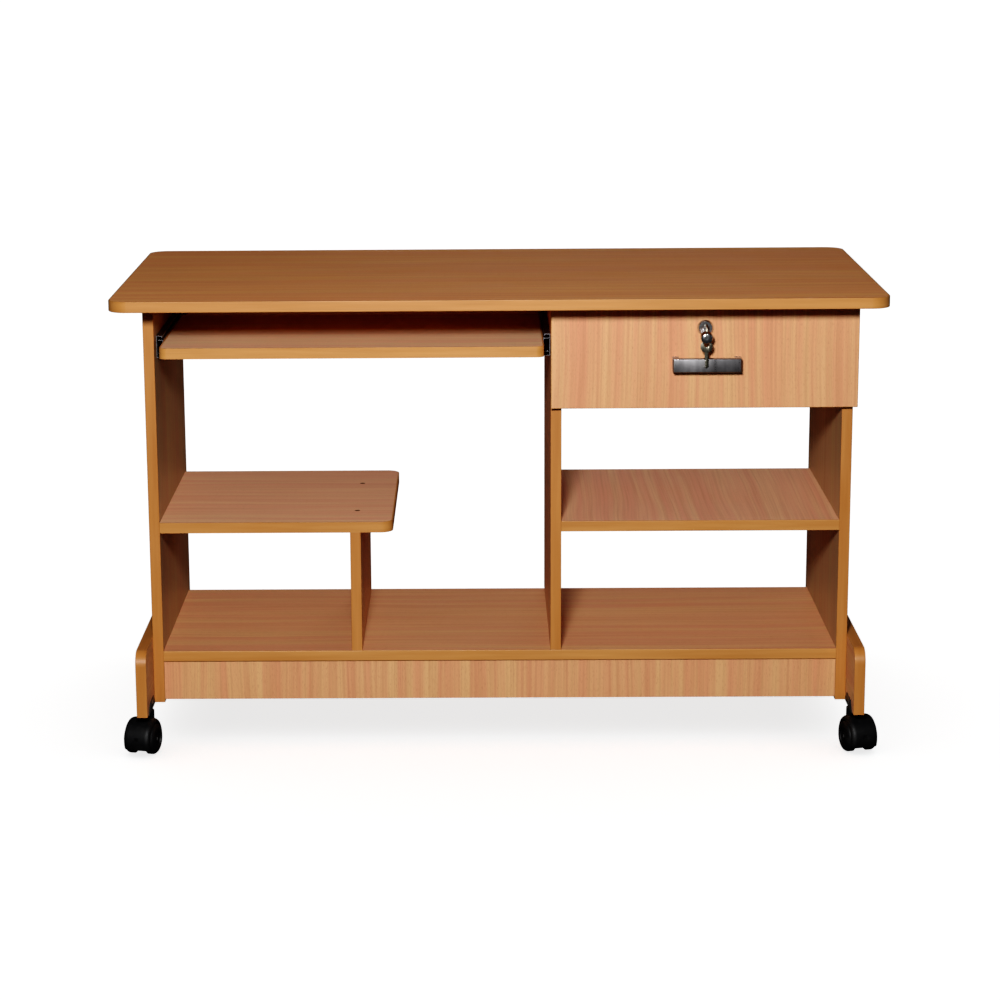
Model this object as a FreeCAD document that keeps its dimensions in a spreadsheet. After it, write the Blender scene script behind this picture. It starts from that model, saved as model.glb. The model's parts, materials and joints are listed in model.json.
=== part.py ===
"""Computer desk of laminated board with a keyboard tray, a lockable drawer and four casters.

The origin is on the floor under the middle of the desk. +X is to the right as seen from
the front, -Y is the front and +Z is up. Sizes are in millimetres.
"""
import FreeCAD, Part
import os
import re

import Sketcher
from FreeCAD import Placement, Rotation, Vector

# Driving sizes. Each is written once, here, and goes into the document's sheet.
SIZES = {
    # whole desk
    "desk_width": 1200,
    "desk_depth": 600,
    "desk_height": 732,
    "board": 17,
    "band": 2,
    "band_round": 1,
    "top_corner": 30,
    # carcass
    "side_overhang": 43,
    "carcass_depth": 410,
    "side_drop": 3,
    "bottom_shelf_top": 151,
    "shelf_top": 363,
    "shelf_back_gap": 18,
    "left_bay_width": 622,
    "left_shelf_length": 371,
    "shelf_corner": 20,
    "shelf_overhang": 51,
    "short_divider_back_gap": 26,
    "plinth_lift": 4,
    "plinth_step": 4,
    "left_rail_height": 90,
    "right_rail_height": 110,
    "rail_screw_high": 22,
    "rail_screw_middle": 45,
    "rail_screw_low": 82,
    # foot boards
    "foot_top": 175,
    "foot_corner": 22,
    "foot_screw_margin": 17,
    # keyboard tray
    "tray_drop": 65,
    "tray_front_step": 36,
    "tray_depth": 340,
    "tray_corner": 12,
    # slides
    "slide_gap": 11,
    "slide_back_room": 11,
    "slide_travel": 250,
    "slide_height": 35,
    "slide_sheet": 1.2,
    "slide_lip": 3.5,
    "slide_mouth_gap": 1.6,
    "race_height": 5.3,
    "ball_radius": 2.3,
    "ball_count": 6,
    "ball_end": 10,
    "cage_sheet": 0.6,
    "cage_clearance": 0.3,
    "tray_slide_set_back": 32,
    "drawer_slide_set_back": 3,
    # drawer
    "front_gap": 4,
    "front_height": 163,
    "front_lap": 5,
    "front_band": 0.8,
    "front_round": 0.6,
    "drawer_board": 15,
    "drawer_box_drop": 21,
    "drawer_box_lift": 12,
    "drawer_bottom_sheet": 4,
    # handle
    "handle_length": 106,
    "handle_height": 22,
    "handle_bar": 8,
    "handle_gap": 16,
    "handle_foot": 9,
    "handle_drop": 92,
    "handle_shift": 2,
    "handle_bevel": 1.2,
    "handle_screw_radius": 2,
    "handle_screw_head": 4,
    # lock and keys
    "lock_drop": 36,
    "bezel_radius": 12.5,
    "bezel_proud": 5,
    "bezel_rim": 2,
    "barrel_radius": 9.4,
    "barrel_length": 40,
    "plug_radius": 6.1,
    "plug_recess": 1,
    "plug_stub": 6,
    "stub_radius": 3,
    "run_clearance": 0.06,
    "nut_radius": 13.5,
    "nut_thickness": 4,
    "cam_reach": 31,
    "cam_width": 12,
    "cam_sheet": 2,
    "key_sheet": 2,
    "key_slot_clearance": 0.15,
    "key_bow_radius": 9.5,
    "key_hole_radius": 4.2,
    "key_hole_rise": 3.6,
    "key_blade_length": 24,
    "key_blade_width": 6,
    "key_neck": 7.6,
    "key_cut_pitch": 2,
    "key_cut_deep": 2,
    "key_cut_middle": 1.75,
    "key_cut_shallow": 1.25,
    "spare_key_gap": 4.6,
    "ring_radius": 8.7,
    "ring_wire": 0.8,
    "ring_slack": 1.3,
    # screws
    "panel_screw_length": 32,
    "panel_screw_radius": 2.5,
    "panel_screw_head": 4.5,
    "panel_screw_head_height": 3,
    "panel_screw_inset": 65,
    "shelf_screw_inset": 83,
    "shelf_screw_spacing": 206,
    "wood_screw_length": 14,
    "wood_screw_radius": 1.6,
    "wood_screw_head": 3.4,
    "wood_screw_head_height": 2,
    "bracket_leg": 20,
    "bracket_sheet": 2,
    "bracket_inset": 60,
    # casters
    "caster_inset": 54,
    "caster_trail": 18,
    "caster_turn": 14,
    "wheel_radius": 25,
    "wheel_inner": 11,
    "wheel_shoulder": 18,
    "wheel_outer": 26,
    "wheel_gap": 1,
    "hub_radius": 13,
    "hub_recess": 2.5,
    "axle_radius": 3,
    "hood_radius": 33,
    "hood_end_radius": 28,
    "hood_flat": 13,
    "hood_half": 22,
    "hood_open": 13,
    "disc_radius": 21.5,
    "disc_half": 10.2,
    "collar_radius": 12.5,
    "collar_height": 8,
    "stem_radius": 4.9,
    "stem_depth": 18,
    "stem_show": 3,
    "slot_width": 7,
    "slot_height": 6,
    "slot_depth": 2,
    "clamp_sheet": 1.5,
    "clamp_length": 76,
    "clamp_height": 16,
    "clamp_screw_stagger": 5,
    # how far a cutting piece passes the face it cuts
    "overshoot": 1,
}

# Places worked out from the sizes, in the same words.
PLACES = {
    "top_under": "desk_height - board",
    "hood_top": "wheel_radius + hood_radius",
    "collar_top": "hood_top + collar_height",
    "foot_lift": "collar_top + stem_show",
    "side_lift": "foot_lift - side_drop",
    "side_out": "desk_width / 2 - side_overhang",
    "side_in": "side_out - board",
    "carcass_front": "-carcass_depth / 2",
    "carcass_back": "carcass_depth / 2",
    "shelf_back": "carcass_back - shelf_back_gap",
    "divider_left": "left_bay_width - side_in",
    "divider_right": "divider_left + board",
    "left_shelf_end": "left_shelf_length - side_in",
    "short_right": "left_shelf_end - shelf_overhang",
    "short_left": "short_right - board",
    "short_back": "carcass_back - short_divider_back_gap",
    "bottom_shelf_under": "bottom_shelf_top - board",
    "shelf_under": "shelf_top - board",
    "plinth_foot": "side_lift + plinth_lift",
    "plinth_front": "carcass_front + plinth_step",
    "plinth_back": "shelf_back - board",
    "rail_front": "carcass_back - board",
    "left_bay_middle": "(divider_left - side_in) / 2",
    "right_bay_middle": "(divider_right + side_in) / 2",
    "foot_out": "side_out + board",
    "foot_front": "-desk_depth / 2",
    "foot_back": "desk_depth / 2",
    "foot_screw_y": "carcass_back - panel_screw_inset",
    "foot_screw_low": "foot_lift + foot_screw_margin",
    "foot_screw_high": "foot_top - foot_screw_margin",
    "tray_top": "top_under - tray_drop",
    "tray_under": "tray_top - board",
    "tray_left": "slide_gap - side_in",
    "tray_right": "divider_left - slide_gap",
    "tray_front": "carcass_front - tray_front_step",
    "tray_back": "tray_front + tray_depth",
    "slide_length": "carcass_depth - board - tray_slide_set_back - slide_back_room",
    "tray_slide_z": "tray_top - board / 2",
    "tray_slide_front": "carcass_front + tray_slide_set_back",
    "front_left": "divider_left",
    "front_right": "side_out + front_lap",
    "front_face": "carcass_front - board",
    "front_top": "top_under - front_gap",
    "front_bottom": "front_top - front_height",
    "front_middle": "(front_left + front_right) / 2",
    "box_left": "divider_right + slide_gap",
    "box_right": "side_in - slide_gap",
    "box_bottom": "front_bottom + drawer_box_lift",
    "box_top": "front_top - drawer_box_drop",
    "box_back": "carcass_front + slide_length",
    "drawer_slide_z": "(box_bottom + box_top) / 2",
    "drawer_slide_front": "carcass_front + drawer_slide_set_back",
    "handle_middle": "front_middle + handle_shift",
    "handle_z": "front_top - handle_drop",
    "handle_back": "front_face - handle_gap",
    "handle_front": "handle_back - handle_bar",
    "lock_z": "front_top - lock_drop",
    "ring_y": "handle_front - spare_key_gap",
    "key_bow_y": "ring_y + key_hole_rise",
    "ring_top_z": "lock_z - key_hole_radius + ring_wire + ring_slack",
    "ring_bottom_z": "ring_top_z - 2 * ring_radius",
    "spare_bow_z": "ring_bottom_z - key_hole_rise - key_hole_radius + ring_wire + ring_slack",
    "cam_front": "front_face + barrel_length + cage_clearance",
    "caster_x": "side_out + board / 2",
    "caster_y": "desk_depth / 2 - caster_inset",
    "clamp_under": "foot_lift - clamp_sheet",
    "cage_length": "slide_length - slide_travel",
    "cage_start": "slide_travel / 2",
    "ball_pitch": "(cage_length - 2 * ball_end) / (ball_count - 1)",
    "inner_half": "slide_height / 2 - slide_sheet - race_height",
    "race_middle": "inner_half + race_height / 2",
    "shelf_hole_front": "carcass_front + shelf_screw_inset",
}

UPRIGHT = Rotation()
ALONG_X = Rotation(Vector(0, 1, 0), 90)
ALONG_Y = Rotation(Vector(1, 0, 0), -90)
AGAINST_X = Rotation(Vector(0, 1, 0), 90).multiply(Rotation(Vector(1, 0, 0), 180))
TOWARDS_FRONT = Rotation(Vector(1, 0, 0), 90)
# Turns a screw that points down so that it is driven the named way.
DRIVEN = {
    "+x": Rotation(Vector(0, 1, 0), -90),
    "-x": Rotation(Vector(0, 1, 0), 90),
    "+z": Rotation(Vector(1, 0, 0), 180),
    "-z": Rotation(),
}
# Where the screws sit along a slide, as shares of its length.
SLIDE_SCREWS = (0.1, 0.5, 0.9)
# Valleys of the key's cuts: steps from the tip, and depth.
KEY_CUTS = ((2, "key_cut_deep"), (4, "key_cut_shallow"), (6, "key_cut_middle"))
# Degrees round a domed outline at which it has its corners.
DOME_TURNS = (0, 30, 60, 90)
SAME = 0.001
MOST_FILES = 60

doc = FreeCAD.newDocument("computer_desk")
sheet = doc.addObject("Spreadsheet::Sheet", "sizes")
for row, (alias, value) in enumerate(SIZES.items(), start=1):
    sheet.set(f"A{row}", alias)
    sheet.set(f"B{row}", str(value))
    sheet.setAlias(f"B{row}", alias)
doc.recompute()

parts = []


def formula(text):
    """Write a formula over sizes and places as one over the sheet's cells."""
    def term(match):
        word = match.group()
        if word in PLACES:
            return f"({formula(PLACES[word])})"
        return f"sizes.{word}" if word in SIZES else word
    return re.sub(r"[a-z][a-z_]+", term, text)


def number(text):
    """Value of a formula."""
    return float(sheet.evalExpression(formula(text)))


def part(piece):
    """Mark an object as a sub-part of the desk, to be written under its own label."""
    parts.append(piece)
    return piece


def put(piece, at, turn=UPRIGHT):
    """Place an object, its position bound to three formulas."""
    piece.Placement = Placement(Vector(), turn)
    for axis, text in zip("xyz", at):
        piece.setExpression(f"Placement.Base.{axis}", formula(text))
    return piece


def box(label, low, high):
    """Plain block between two corners."""
    piece = doc.addObject("Part::Box", label)
    for side, start, end in zip(("Length", "Width", "Height"), low, high):
        piece.setExpression(side, formula(f"({end}) - ({start})"))
    return put(piece, low)


def cylinder(label, radius, length, at, turn=UPRIGHT):
    """Cylinder that starts at a point and runs along its turned axis."""
    piece = doc.addObject("Part::Cylinder", label)
    piece.setExpression("Radius", formula(radius))
    piece.setExpression("Height", formula(length))
    return put(piece, at, turn)


def joined(label, pieces):
    """One solid from several."""
    piece = doc.addObject("Part::MultiFuse", label)
    piece.Shapes = pieces
    return piece


def group(label, pieces):
    """Separate solids kept together."""
    piece = doc.addObject("Part::Compound", label)
    piece.Links = pieces
    return piece


def cut(label, base, tools):
    """A base with the tools' space taken out of it."""
    piece = doc.addObject("Part::Cut", label)
    piece.Base = base
    piece.Tool = tools[0] if len(tools) == 1 else group(label + "_tools", tools)
    return piece


def mirrored(label, source, middle="0"):
    """The source's twin across an upright plane at x = middle."""
    piece = doc.addObject("Part::Mirroring", label)
    piece.Source = source
    piece.Normal = Vector(1, 0, 0)
    piece.setExpression("Base.x", formula(middle))
    return piece


def outline(body, plane, corners):
    """Closed sketch on one of the body's planes, each corner held by two dimensions."""
    sketch = body.newObject("Sketcher::SketchObject", body.Label + "_outline")
    support = next(item for item in body.Origin.OriginFeatures if item.Role == plane)
    sketch.AttachmentSupport = [(support, "")]
    sketch.MapMode = "FlatFace"
    points = [Vector(number(u), number(v), 0) for u, v in corners]
    for index, point in enumerate(points):
        sketch.addGeometry(Part.LineSegment(point, points[(index + 1) % len(points)]), False)
    for index in range(len(points)):
        sketch.addConstraint(Sketcher.Constraint("Coincident", index, 2, (index + 1) % len(points), 1))
    for index, (u, v) in enumerate(corners):
        for kind, text, value in (("DistanceX", u, points[index].x), ("DistanceY", v, points[index].y)):
            held = sketch.addConstraint(Sketcher.Constraint(kind, -1, 1, index, 1, value))
            sketch.setExpression(f"Constraints[{held}]", formula(text))
    return sketch


def padded(label, plane, corners, length, at=("0", "0", "0"), turn=UPRIGHT):
    """Body padded from a closed outline on one of its planes."""
    body = doc.addObject("PartDesign::Body", label)
    pad = body.newObject("PartDesign::Pad", label + "_pad")
    pad.Profile = outline(body, plane, corners)
    pad.setExpression("Length", formula(length))
    body.Tip = pad
    return put(body, at, turn)


def turned(label, corners, at=("0", "0", "0"), turn=UPRIGHT):
    """Body revolved about its own Z axis from (radius, height) corners."""
    body = doc.addObject("PartDesign::Body", label)
    sketch = outline(body, "XZ_Plane", corners)
    spin = body.newObject("PartDesign::Revolution", label + "_revolution")
    spin.Profile = sketch
    spin.ReferenceAxis = (sketch, ["V_Axis"])
    spin.Angle = 360
    body.Tip = spin
    return put(body, at, turn)


def lies_on(edge, bounds, faces):
    """Whether an edge lies in every named face, such as "-x +z", of a box."""
    points = [edge.valueAt(edge.FirstParameter), edge.valueAt(edge.LastParameter), edge.CenterOfMass]
    for face in faces.split():
        axis = face[1]
        limit = getattr(bounds, axis.upper() + ("Min" if face[0] == "-" else "Max"))
        if any(abs(getattr(point, axis) - limit) > SAME for point in points):
            return False
    return True


def dressed(body, kind, size, faces):
    """Add a fillet or a chamfer to the edges that lie in the named faces."""
    doc.recompute()
    base = body.Tip
    bounds = base.Shape.BoundBox
    edges = [f"Edge{index}" for index, edge in enumerate(base.Shape.Edges, start=1)
             if any(lies_on(edge, bounds, face) for face in faces)]
    dress = body.newObject(f"PartDesign::{kind}", body.Label + "_" + kind.lower())
    dress.Base = (base, edges)
    dress.setExpression("Radius" if kind == "Fillet" else "Size", formula(size))
    body.Tip = dress
    return body


def block(label, low, high):
    """Body padded upwards from a rectangle between two corners."""
    (x0, y0, z0), (x1, y1, z1) = low, high
    width, depth = f"({x1}) - ({x0})", f"({y1}) - ({y0})"
    corners = [("0", "0"), (width, "0"), (width, depth), ("0", depth)]
    return padded(label, "XY_Plane", corners, f"({z1}) - ({z0})", low)


def copies(label, master, spots):
    """Group of copies of a master, each at a place and turned as named."""
    links = []
    for index, (at, way) in enumerate(spots):
        link = doc.addObject("App::Link", f"{label}_{index}")
        link.LinkedObject = master
        links.append(put(link, at, DRIVEN[way]))
    return group(label, links)


def negated(text):
    """Formula of the opposite sign."""
    return f"-({text})"


# ---------------------------------------------------------------- screws

def screw_master(name):
    """Countersunk screw that points down from the face it is driven into."""
    head, shank, length, height = (f"{name}_head", f"{name}_radius", f"{name}_length", f"{name}_head_height")
    return turned(name + "_master", [("0", "0"), (head, "0"), (shank, negated(height)),
                                     (shank, f"-({length} - {shank})"), ("0", negated(length))])


def panel_screw_spots():
    """Chipboard screws that join the boards."""
    spots = []
    screw_ys = ("carcass_front + panel_screw_inset", "shelf_back - panel_screw_inset")
    plinth_z = "(plinth_foot + bottom_shelf_under) / 2"
    shelf_z, bottom_z = "shelf_top - board / 2", "bottom_shelf_top - board / 2"
    plinth_ys = ("plinth_front + board / 2", "plinth_back + board / 2")
    rail_y = "rail_front + board / 2"
    for way, face in (("+x", "-(side_out)"), ("-x", "side_out")):
        spots += [((face, y, z), way) for z in (bottom_z, shelf_z) for y in screw_ys]
        spots += [((face, y, plinth_z), way) for y in plinth_ys]
        spots.append(((face, rail_y, "top_under - rail_screw_middle"), way))
    spots.append((("divider_right", rail_y, "top_under - rail_screw_high"), "-x"))
    spots.append((("divider_left", rail_y, "top_under - rail_screw_low"), "+x"))
    spots += [(("divider_left", y, shelf_z), "+x") for y in screw_ys]
    short_x = "short_left + board / 2"
    for x in ("divider_left + board / 2", short_x):
        spots += [((x, y, "bottom_shelf_under"), "+z") for y in screw_ys]
    spots += [((short_x, y, "shelf_top"), "-z")
              for y in ("shelf_hole_front", "shelf_hole_front + shelf_screw_spacing")]
    for way, face in (("+x", "-(foot_out)"), ("-x", "foot_out")):
        spots += [((face, y, z), way) for y in ("foot_screw_y", "-(foot_screw_y)")
                  for z in ("foot_screw_low", "foot_screw_high")]
    return spots


panel_screw = screw_master("panel_screw")
wood_screw = screw_master("wood_screw")
panel_screws = part(copies("panel_screws", panel_screw, panel_screw_spots()))


# ---------------------------------------------------------------- slides

def slide_outer(label, x, z, front):
    """Fixed channel of a ball-bearing slide, its mouth towards +X, against a wall at x."""
    depth, half = "slide_gap - slide_mouth_gap", "slide_height / 2"
    sheet_in, lip_in = "slide_sheet", f"{depth} - slide_sheet"
    lower = [("0", f"-({half})"), (depth, f"-({half})"), (depth, f"-({half} - slide_lip)"),
             (lip_in, f"-({half} - slide_lip)"), (lip_in, f"-({half} - slide_sheet)"),
             (sheet_in, f"-({half} - slide_sheet)")]
    upper = [(u, v[1:]) for u, v in reversed(lower)]
    return padded(label, "XZ_Plane", lower + upper, "slide_length", (x, f"{front} + slide_length", z))


def slide_inner(label, x, z, front):
    """Moving channel of a slide, its back towards +X, in the mouth of the fixed one."""
    back, lip = "slide_gap", "slide_sheet + cage_sheet + 2 * cage_clearance"
    inside = "slide_gap - slide_sheet"
    upper = [(back, "inner_half"), (lip, "inner_half"), (lip, "inner_half - slide_sheet"),
             (inside, "inner_half - slide_sheet")]
    lower = [(u, negated(v)) for u, v in reversed(upper)]
    return padded(label, "XZ_Plane", upper + lower, "slide_length", (x, f"{front} + slide_length", z))


def ball_cage(label, x, z, front):
    """Pressed cage that carries two rows of balls between the channels."""
    start = f"{front} + cage_start"
    web_x = f"{x} + slide_sheet + cage_clearance"
    ball_x = f"{x} + (slide_gap - slide_mouth_gap) / 2"
    pieces = [box(label + "_web", (web_x, start, f"{z} - race_middle - cage_sheet / 2"),
                  (f"{web_x} + cage_sheet", f"{start} + cage_length", f"{z} + race_middle + cage_sheet / 2"))]
    for name, sign in (("low", "-"), ("high", "+")):
        race = f"{z} {sign} race_middle"
        pieces.append(box(f"{label}_{name}_wing", (web_x, start, f"{race} - cage_sheet / 2"),
                          (f"{ball_x} + ball_radius", f"{start} + cage_length", f"{race} + cage_sheet / 2")))
        for index in range(int(number("ball_count"))):
            ball = doc.addObject("Part::Sphere", f"{label}_{name}_ball_{index}")
            ball.setExpression("Radius", formula("ball_radius"))
            step = f"{start} + cage_length / 2 + ({index} - (ball_count - 1) / 2) * ball_pitch"
            pieces.append(put(ball, (ball_x, step, race)))
    return joined(label, pieces)


def slide_pair(label, make, wall, z, front, middle):
    """A slide member at the left wall of a bay and its twin at the right wall."""
    left = make(label + "_left", wall, z, front)
    return group(label, [left, mirrored(label + "_right", left, middle)])


def slide_screw_spots(left, right, z, front, into):
    """Three screws along each member of a pair, at x = left and right."""
    spots = []
    for face, way in zip((left, right), into):
        spots += [((face, f"{front} + slide_length * {share}", z), way) for share in SLIDE_SCREWS]
    return spots


TRAY_RUN = ("-(side_in)", "tray_slide_z", "tray_slide_front", "left_bay_middle")
DRAWER_RUN = ("divider_right", "drawer_slide_z", "drawer_slide_front", "right_bay_middle")
tray_outers = slide_pair("tray_outer_blanks", slide_outer, *TRAY_RUN)
drawer_outers = slide_pair("drawer_outer_blanks", slide_outer, *DRAWER_RUN)
tray_inners = slide_pair("tray_inner_blanks", slide_inner, *TRAY_RUN)
drawer_inners = slide_pair("drawer_inner_blanks", slide_inner, *DRAWER_RUN)
tray_cages = part(slide_pair("tray_ball_cages", ball_cage, *TRAY_RUN))
drawer_cages = part(slide_pair("drawer_ball_cages", ball_cage, *DRAWER_RUN))

# ---------------------------------------------------------------- angle brackets under the top


def bracket_sites():
    """Where each angle bracket stands: its wall, the way it faces and its place along the wall."""
    walls = (("-(side_in)", 1), ("divider_left", -1), ("divider_right", 1), ("side_in", -1))
    ys = ("carcass_front + bracket_inset", "rail_front - bracket_inset")
    return [(wall, way, y) for wall, way in walls for y in ys]


def angle_bracket(label, wall, way, y):
    """Steel angle between a wall and the underside of the top."""
    leg, sheet = f"{way} * bracket_leg", f"{way} * bracket_sheet"
    corners = [("0", "0"), (leg, "0"), (leg, "-bracket_sheet"), (sheet, "-bracket_sheet"),
               (sheet, "-bracket_leg"), ("0", "-bracket_leg")]
    return padded(label, "XZ_Plane", corners, "bracket_leg", (wall, f"{y} + bracket_leg / 2", "top_under"))


def bracket_screw_spots():
    """One screw up into the top and one into the wall for each bracket."""
    spots = []
    middle = "(bracket_leg + bracket_sheet) / 2"
    for wall, way, y in bracket_sites():
        spots.append(((f"{wall} + {way} * {middle}", y, "top_under - bracket_sheet"), "+z"))
        into = "-x" if way > 0 else "+x"
        spots.append(((f"{wall} + {way} * bracket_sheet", y, f"top_under - {middle}"), into))
    return spots


def caster_sites():
    """Name and stem position of each caster."""
    return [(f"{end}_{side}", x, y) for end, y in (("front", "-(caster_y)"), ("rear", "caster_y"))
            for side, x in (("left", "-(caster_x)"), ("right", "caster_x"))]


def clamp_screw_spots():
    """One screw through each cheek of each caster clamp, staggered in the foot board."""
    spots = []
    for _, x, y in caster_sites():
        for way, sign in (("+x", "-"), ("-x", "+")):
            face = f"{x} {sign} (board / 2 + clamp_sheet)"
            spots.append(((face, f"{y} {sign} clamp_screw_stagger", "foot_lift + clamp_height / 2"), way))
    return spots


brackets = group("bracket_blanks", [angle_bracket(f"top_bracket_{index}", *site)
                                    for index, site in enumerate(bracket_sites())])
desk_screw_spots = bracket_screw_spots() + clamp_screw_spots()
desk_screw_spots += slide_screw_spots("slide_sheet - side_in", "divider_left - slide_sheet",
                                      "tray_slide_z", "tray_slide_front", ("-x", "+x"))
desk_screw_spots += slide_screw_spots("divider_right + slide_sheet", "side_in - slide_sheet",
                                      "drawer_slide_z", "drawer_slide_front", ("-x", "+x"))
wood_screws = part(copies("wood_screws", wood_screw, desk_screw_spots))
tray_screw_spots = slide_screw_spots("tray_left - slide_sheet", "tray_right + slide_sheet",
                                     "tray_slide_z", "tray_slide_front", ("+x", "-x"))
drawer_screw_spots = slide_screw_spots("box_left - slide_sheet", "box_right + slide_sheet",
                                       "drawer_slide_z", "drawer_slide_front", ("+x", "-x"))
tray_screws = part(copies("tray_screws", wood_screw, tray_screw_spots))
drawer_screws = part(copies("drawer_screws", wood_screw, drawer_screw_spots))
part(cut("top_brackets", brackets, [wood_screws]))
part(cut("tray_slide_outers", tray_outers, [wood_screws]))
part(cut("drawer_slide_outers", drawer_outers, [wood_screws]))
part(cut("tray_slide_inners", tray_inners, [tray_screws]))
part(cut("drawer_slide_inners", drawer_inners, [drawer_screws]))


# ---------------------------------------------------------------- carcass boards

FRONT_CORNERS = ("-x -y", "+x -y")
ALL_CORNERS = ("-x -y", "+x -y", "-x +y", "+x +y")


def drilled(label, low, high, screws=(panel_screws,)):
    """Board between two corners, drilled for the screws that pass into it."""
    return part(cut(label, block(label + "_blank", low, high), list(screws)))


def slab(label, low, high, inset, corners, radius):
    """Board with rounded corners, its outline drawn in by the inset on the sides with corners."""
    left = f"{low[0]} + {inset}" if any("-x" in corner for corner in corners) else low[0]
    back = f"{high[1]} - {inset}" if any("+y" in corner for corner in corners) else high[1]
    body = block(label, (left, f"{low[1]} + {inset}", low[2]), (f"{high[0]} - {inset}", back, high[2]))
    return dressed(body, "Fillet", f"{radius} - {inset}", corners)


def banded_slab(label, band_label, low, high, corners, radius):
    """Rounded board and the plastic band round its shown edges."""
    core = slab(label, low, high, "band", corners, radius)
    shell = slab(band_label + "_shell", low, high, "0", corners, radius)
    return core, cut(band_label, shell, [core])


def strip(label, low, high, edges):
    """Edge band on a straight edge, its outer corners rounded."""
    return dressed(block(label, low, high), "Fillet", "band_round", edges)


both_screws = (panel_screws, wood_screws)
banded_front = "carcass_front + band"
drilled("left_side_panel", ("-(side_out)", banded_front, "side_lift"),
        ("-(side_in)", "carcass_back", "top_under"), both_screws)
drilled("right_side_panel", ("side_in", banded_front, "side_lift"),
        ("side_out", "carcass_back", "top_under"), both_screws)
drilled("centre_divider", ("divider_left", banded_front, "bottom_shelf_top"),
        ("divider_right", "carcass_back", "top_under"), both_screws)
drilled("short_divider", ("short_left", banded_front, "bottom_shelf_top"),
        ("short_right", "short_back", "shelf_under"))
drilled("bottom_shelf", ("-(side_in)", banded_front, "bottom_shelf_under"),
        ("side_in", "shelf_back", "bottom_shelf_top"))
drilled("right_shelf", ("divider_right", banded_front, "shelf_under"),
        ("side_in", "shelf_back", "shelf_top"))
drilled("front_plinth", ("-(side_in)", "plinth_front", "plinth_foot"),
        ("side_in", "plinth_front + board", "bottom_shelf_under"))
drilled("back_plinth", ("-(side_in)", "plinth_back", "plinth_foot"),
        ("side_in", "plinth_back + board", "bottom_shelf_under"))
drilled("left_rear_rail", ("-(side_in)", "rail_front", "top_under - left_rail_height"),
        ("divider_left", "carcass_back", "top_under"))
drilled("right_rear_rail", ("divider_right", "rail_front", "top_under - right_rail_height"),
        ("side_in", "carcass_back", "top_under"))

upright_bands = [strip(f"{name}_band", (left, "carcass_front", foot), (f"{left} + board", banded_front, head),
                       FRONT_CORNERS)
                 for name, left, foot, head in (
                     ("left_side", "-(side_out)", "side_lift", "top_under"),
                     ("right_side", "side_in", "side_lift", "top_under"),
                     ("centre_divider", "divider_left", "bottom_shelf_top", "top_under"),
                     ("short_divider", "short_left", "bottom_shelf_top", "shelf_under"))]
part(group("upright_edge_bands", upright_bands))

left_shelf_low = ("-(side_in)", "carcass_front", "shelf_under")
left_shelf_high = ("left_shelf_end", "shelf_back", "shelf_top")
left_shelf, left_shelf_band = banded_slab("left_shelf_blank", "left_shelf_band", left_shelf_low,
                                          left_shelf_high, ("+x -y", "+x +y"), "shelf_corner")
part(cut("left_shelf", left_shelf, [panel_screws]))
shelf_edges = ("-y -z", "-y +z")
part(group("shelf_edge_bands", [
    left_shelf_band,
    strip("bottom_shelf_band", ("-(side_in)", "carcass_front", "bottom_shelf_under"),
          ("side_in", banded_front, "bottom_shelf_top"), shelf_edges),
    strip("right_shelf_band", ("divider_right", "carcass_front", "shelf_under"),
          ("side_in", banded_front, "shelf_top"), shelf_edges)]))

top_low = ("-desk_width / 2", "-desk_depth / 2", "top_under")
top_high = ("desk_width / 2", "desk_depth / 2", "desk_height")
top_core = slab("top_panel_blank", top_low, top_high, "band", ALL_CORNERS, "top_corner")
top_shell = slab("top_band_shell", top_low, top_high, "0", ALL_CORNERS, "top_corner")
dressed(top_shell, "Fillet", "band_round", ("-z", "+z"))
part(cut("top_panel", top_core, [wood_screws]))
part(cut("top_edge_band", top_shell, [top_core]))


# ---------------------------------------------------------------- foot boards

def foot_slab(label, inset):
    """Foot board lying along the left side, its two upper ends rounded, drawn in by the inset."""
    front, back = f"foot_front + {inset}", f"foot_back - {inset}"
    top = f"foot_top - {inset}"
    corners = [(front, "foot_lift"), (back, "foot_lift"), (back, top), (front, top)]
    body = padded(label, "YZ_Plane", corners, "board", ("-(foot_out)", "0", "0"))
    return dressed(body, "Fillet", f"foot_corner - {inset}", ("-y +z", "+y +z"))


foot_core = foot_slab("foot_core", "band")
foot_shell = dressed(foot_slab("foot_shell", "0"), "Fillet", "band_round", ("-x", "+x"))
foot_band = cut("foot_band", foot_shell, [foot_core])
part(cut("left_foot_board", foot_core, list(both_screws)))
part(cut("right_foot_board", mirrored("right_foot_blank", foot_core), list(both_screws)))
part(group("foot_edge_bands", [foot_band, mirrored("right_foot_band", foot_band)]))

# ---------------------------------------------------------------- keyboard tray

tray_core, tray_band = banded_slab("tray_blank", "tray_band_blank", ("tray_left", "tray_front", "tray_under"),
                                   ("tray_right", "tray_back", "tray_top"), FRONT_CORNERS, "tray_corner")
part(cut("tray_panel", tray_core, [tray_screws]))
part(cut("tray_edge_band", tray_band, [tray_screws]))

# ---------------------------------------------------------------- lock

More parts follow.
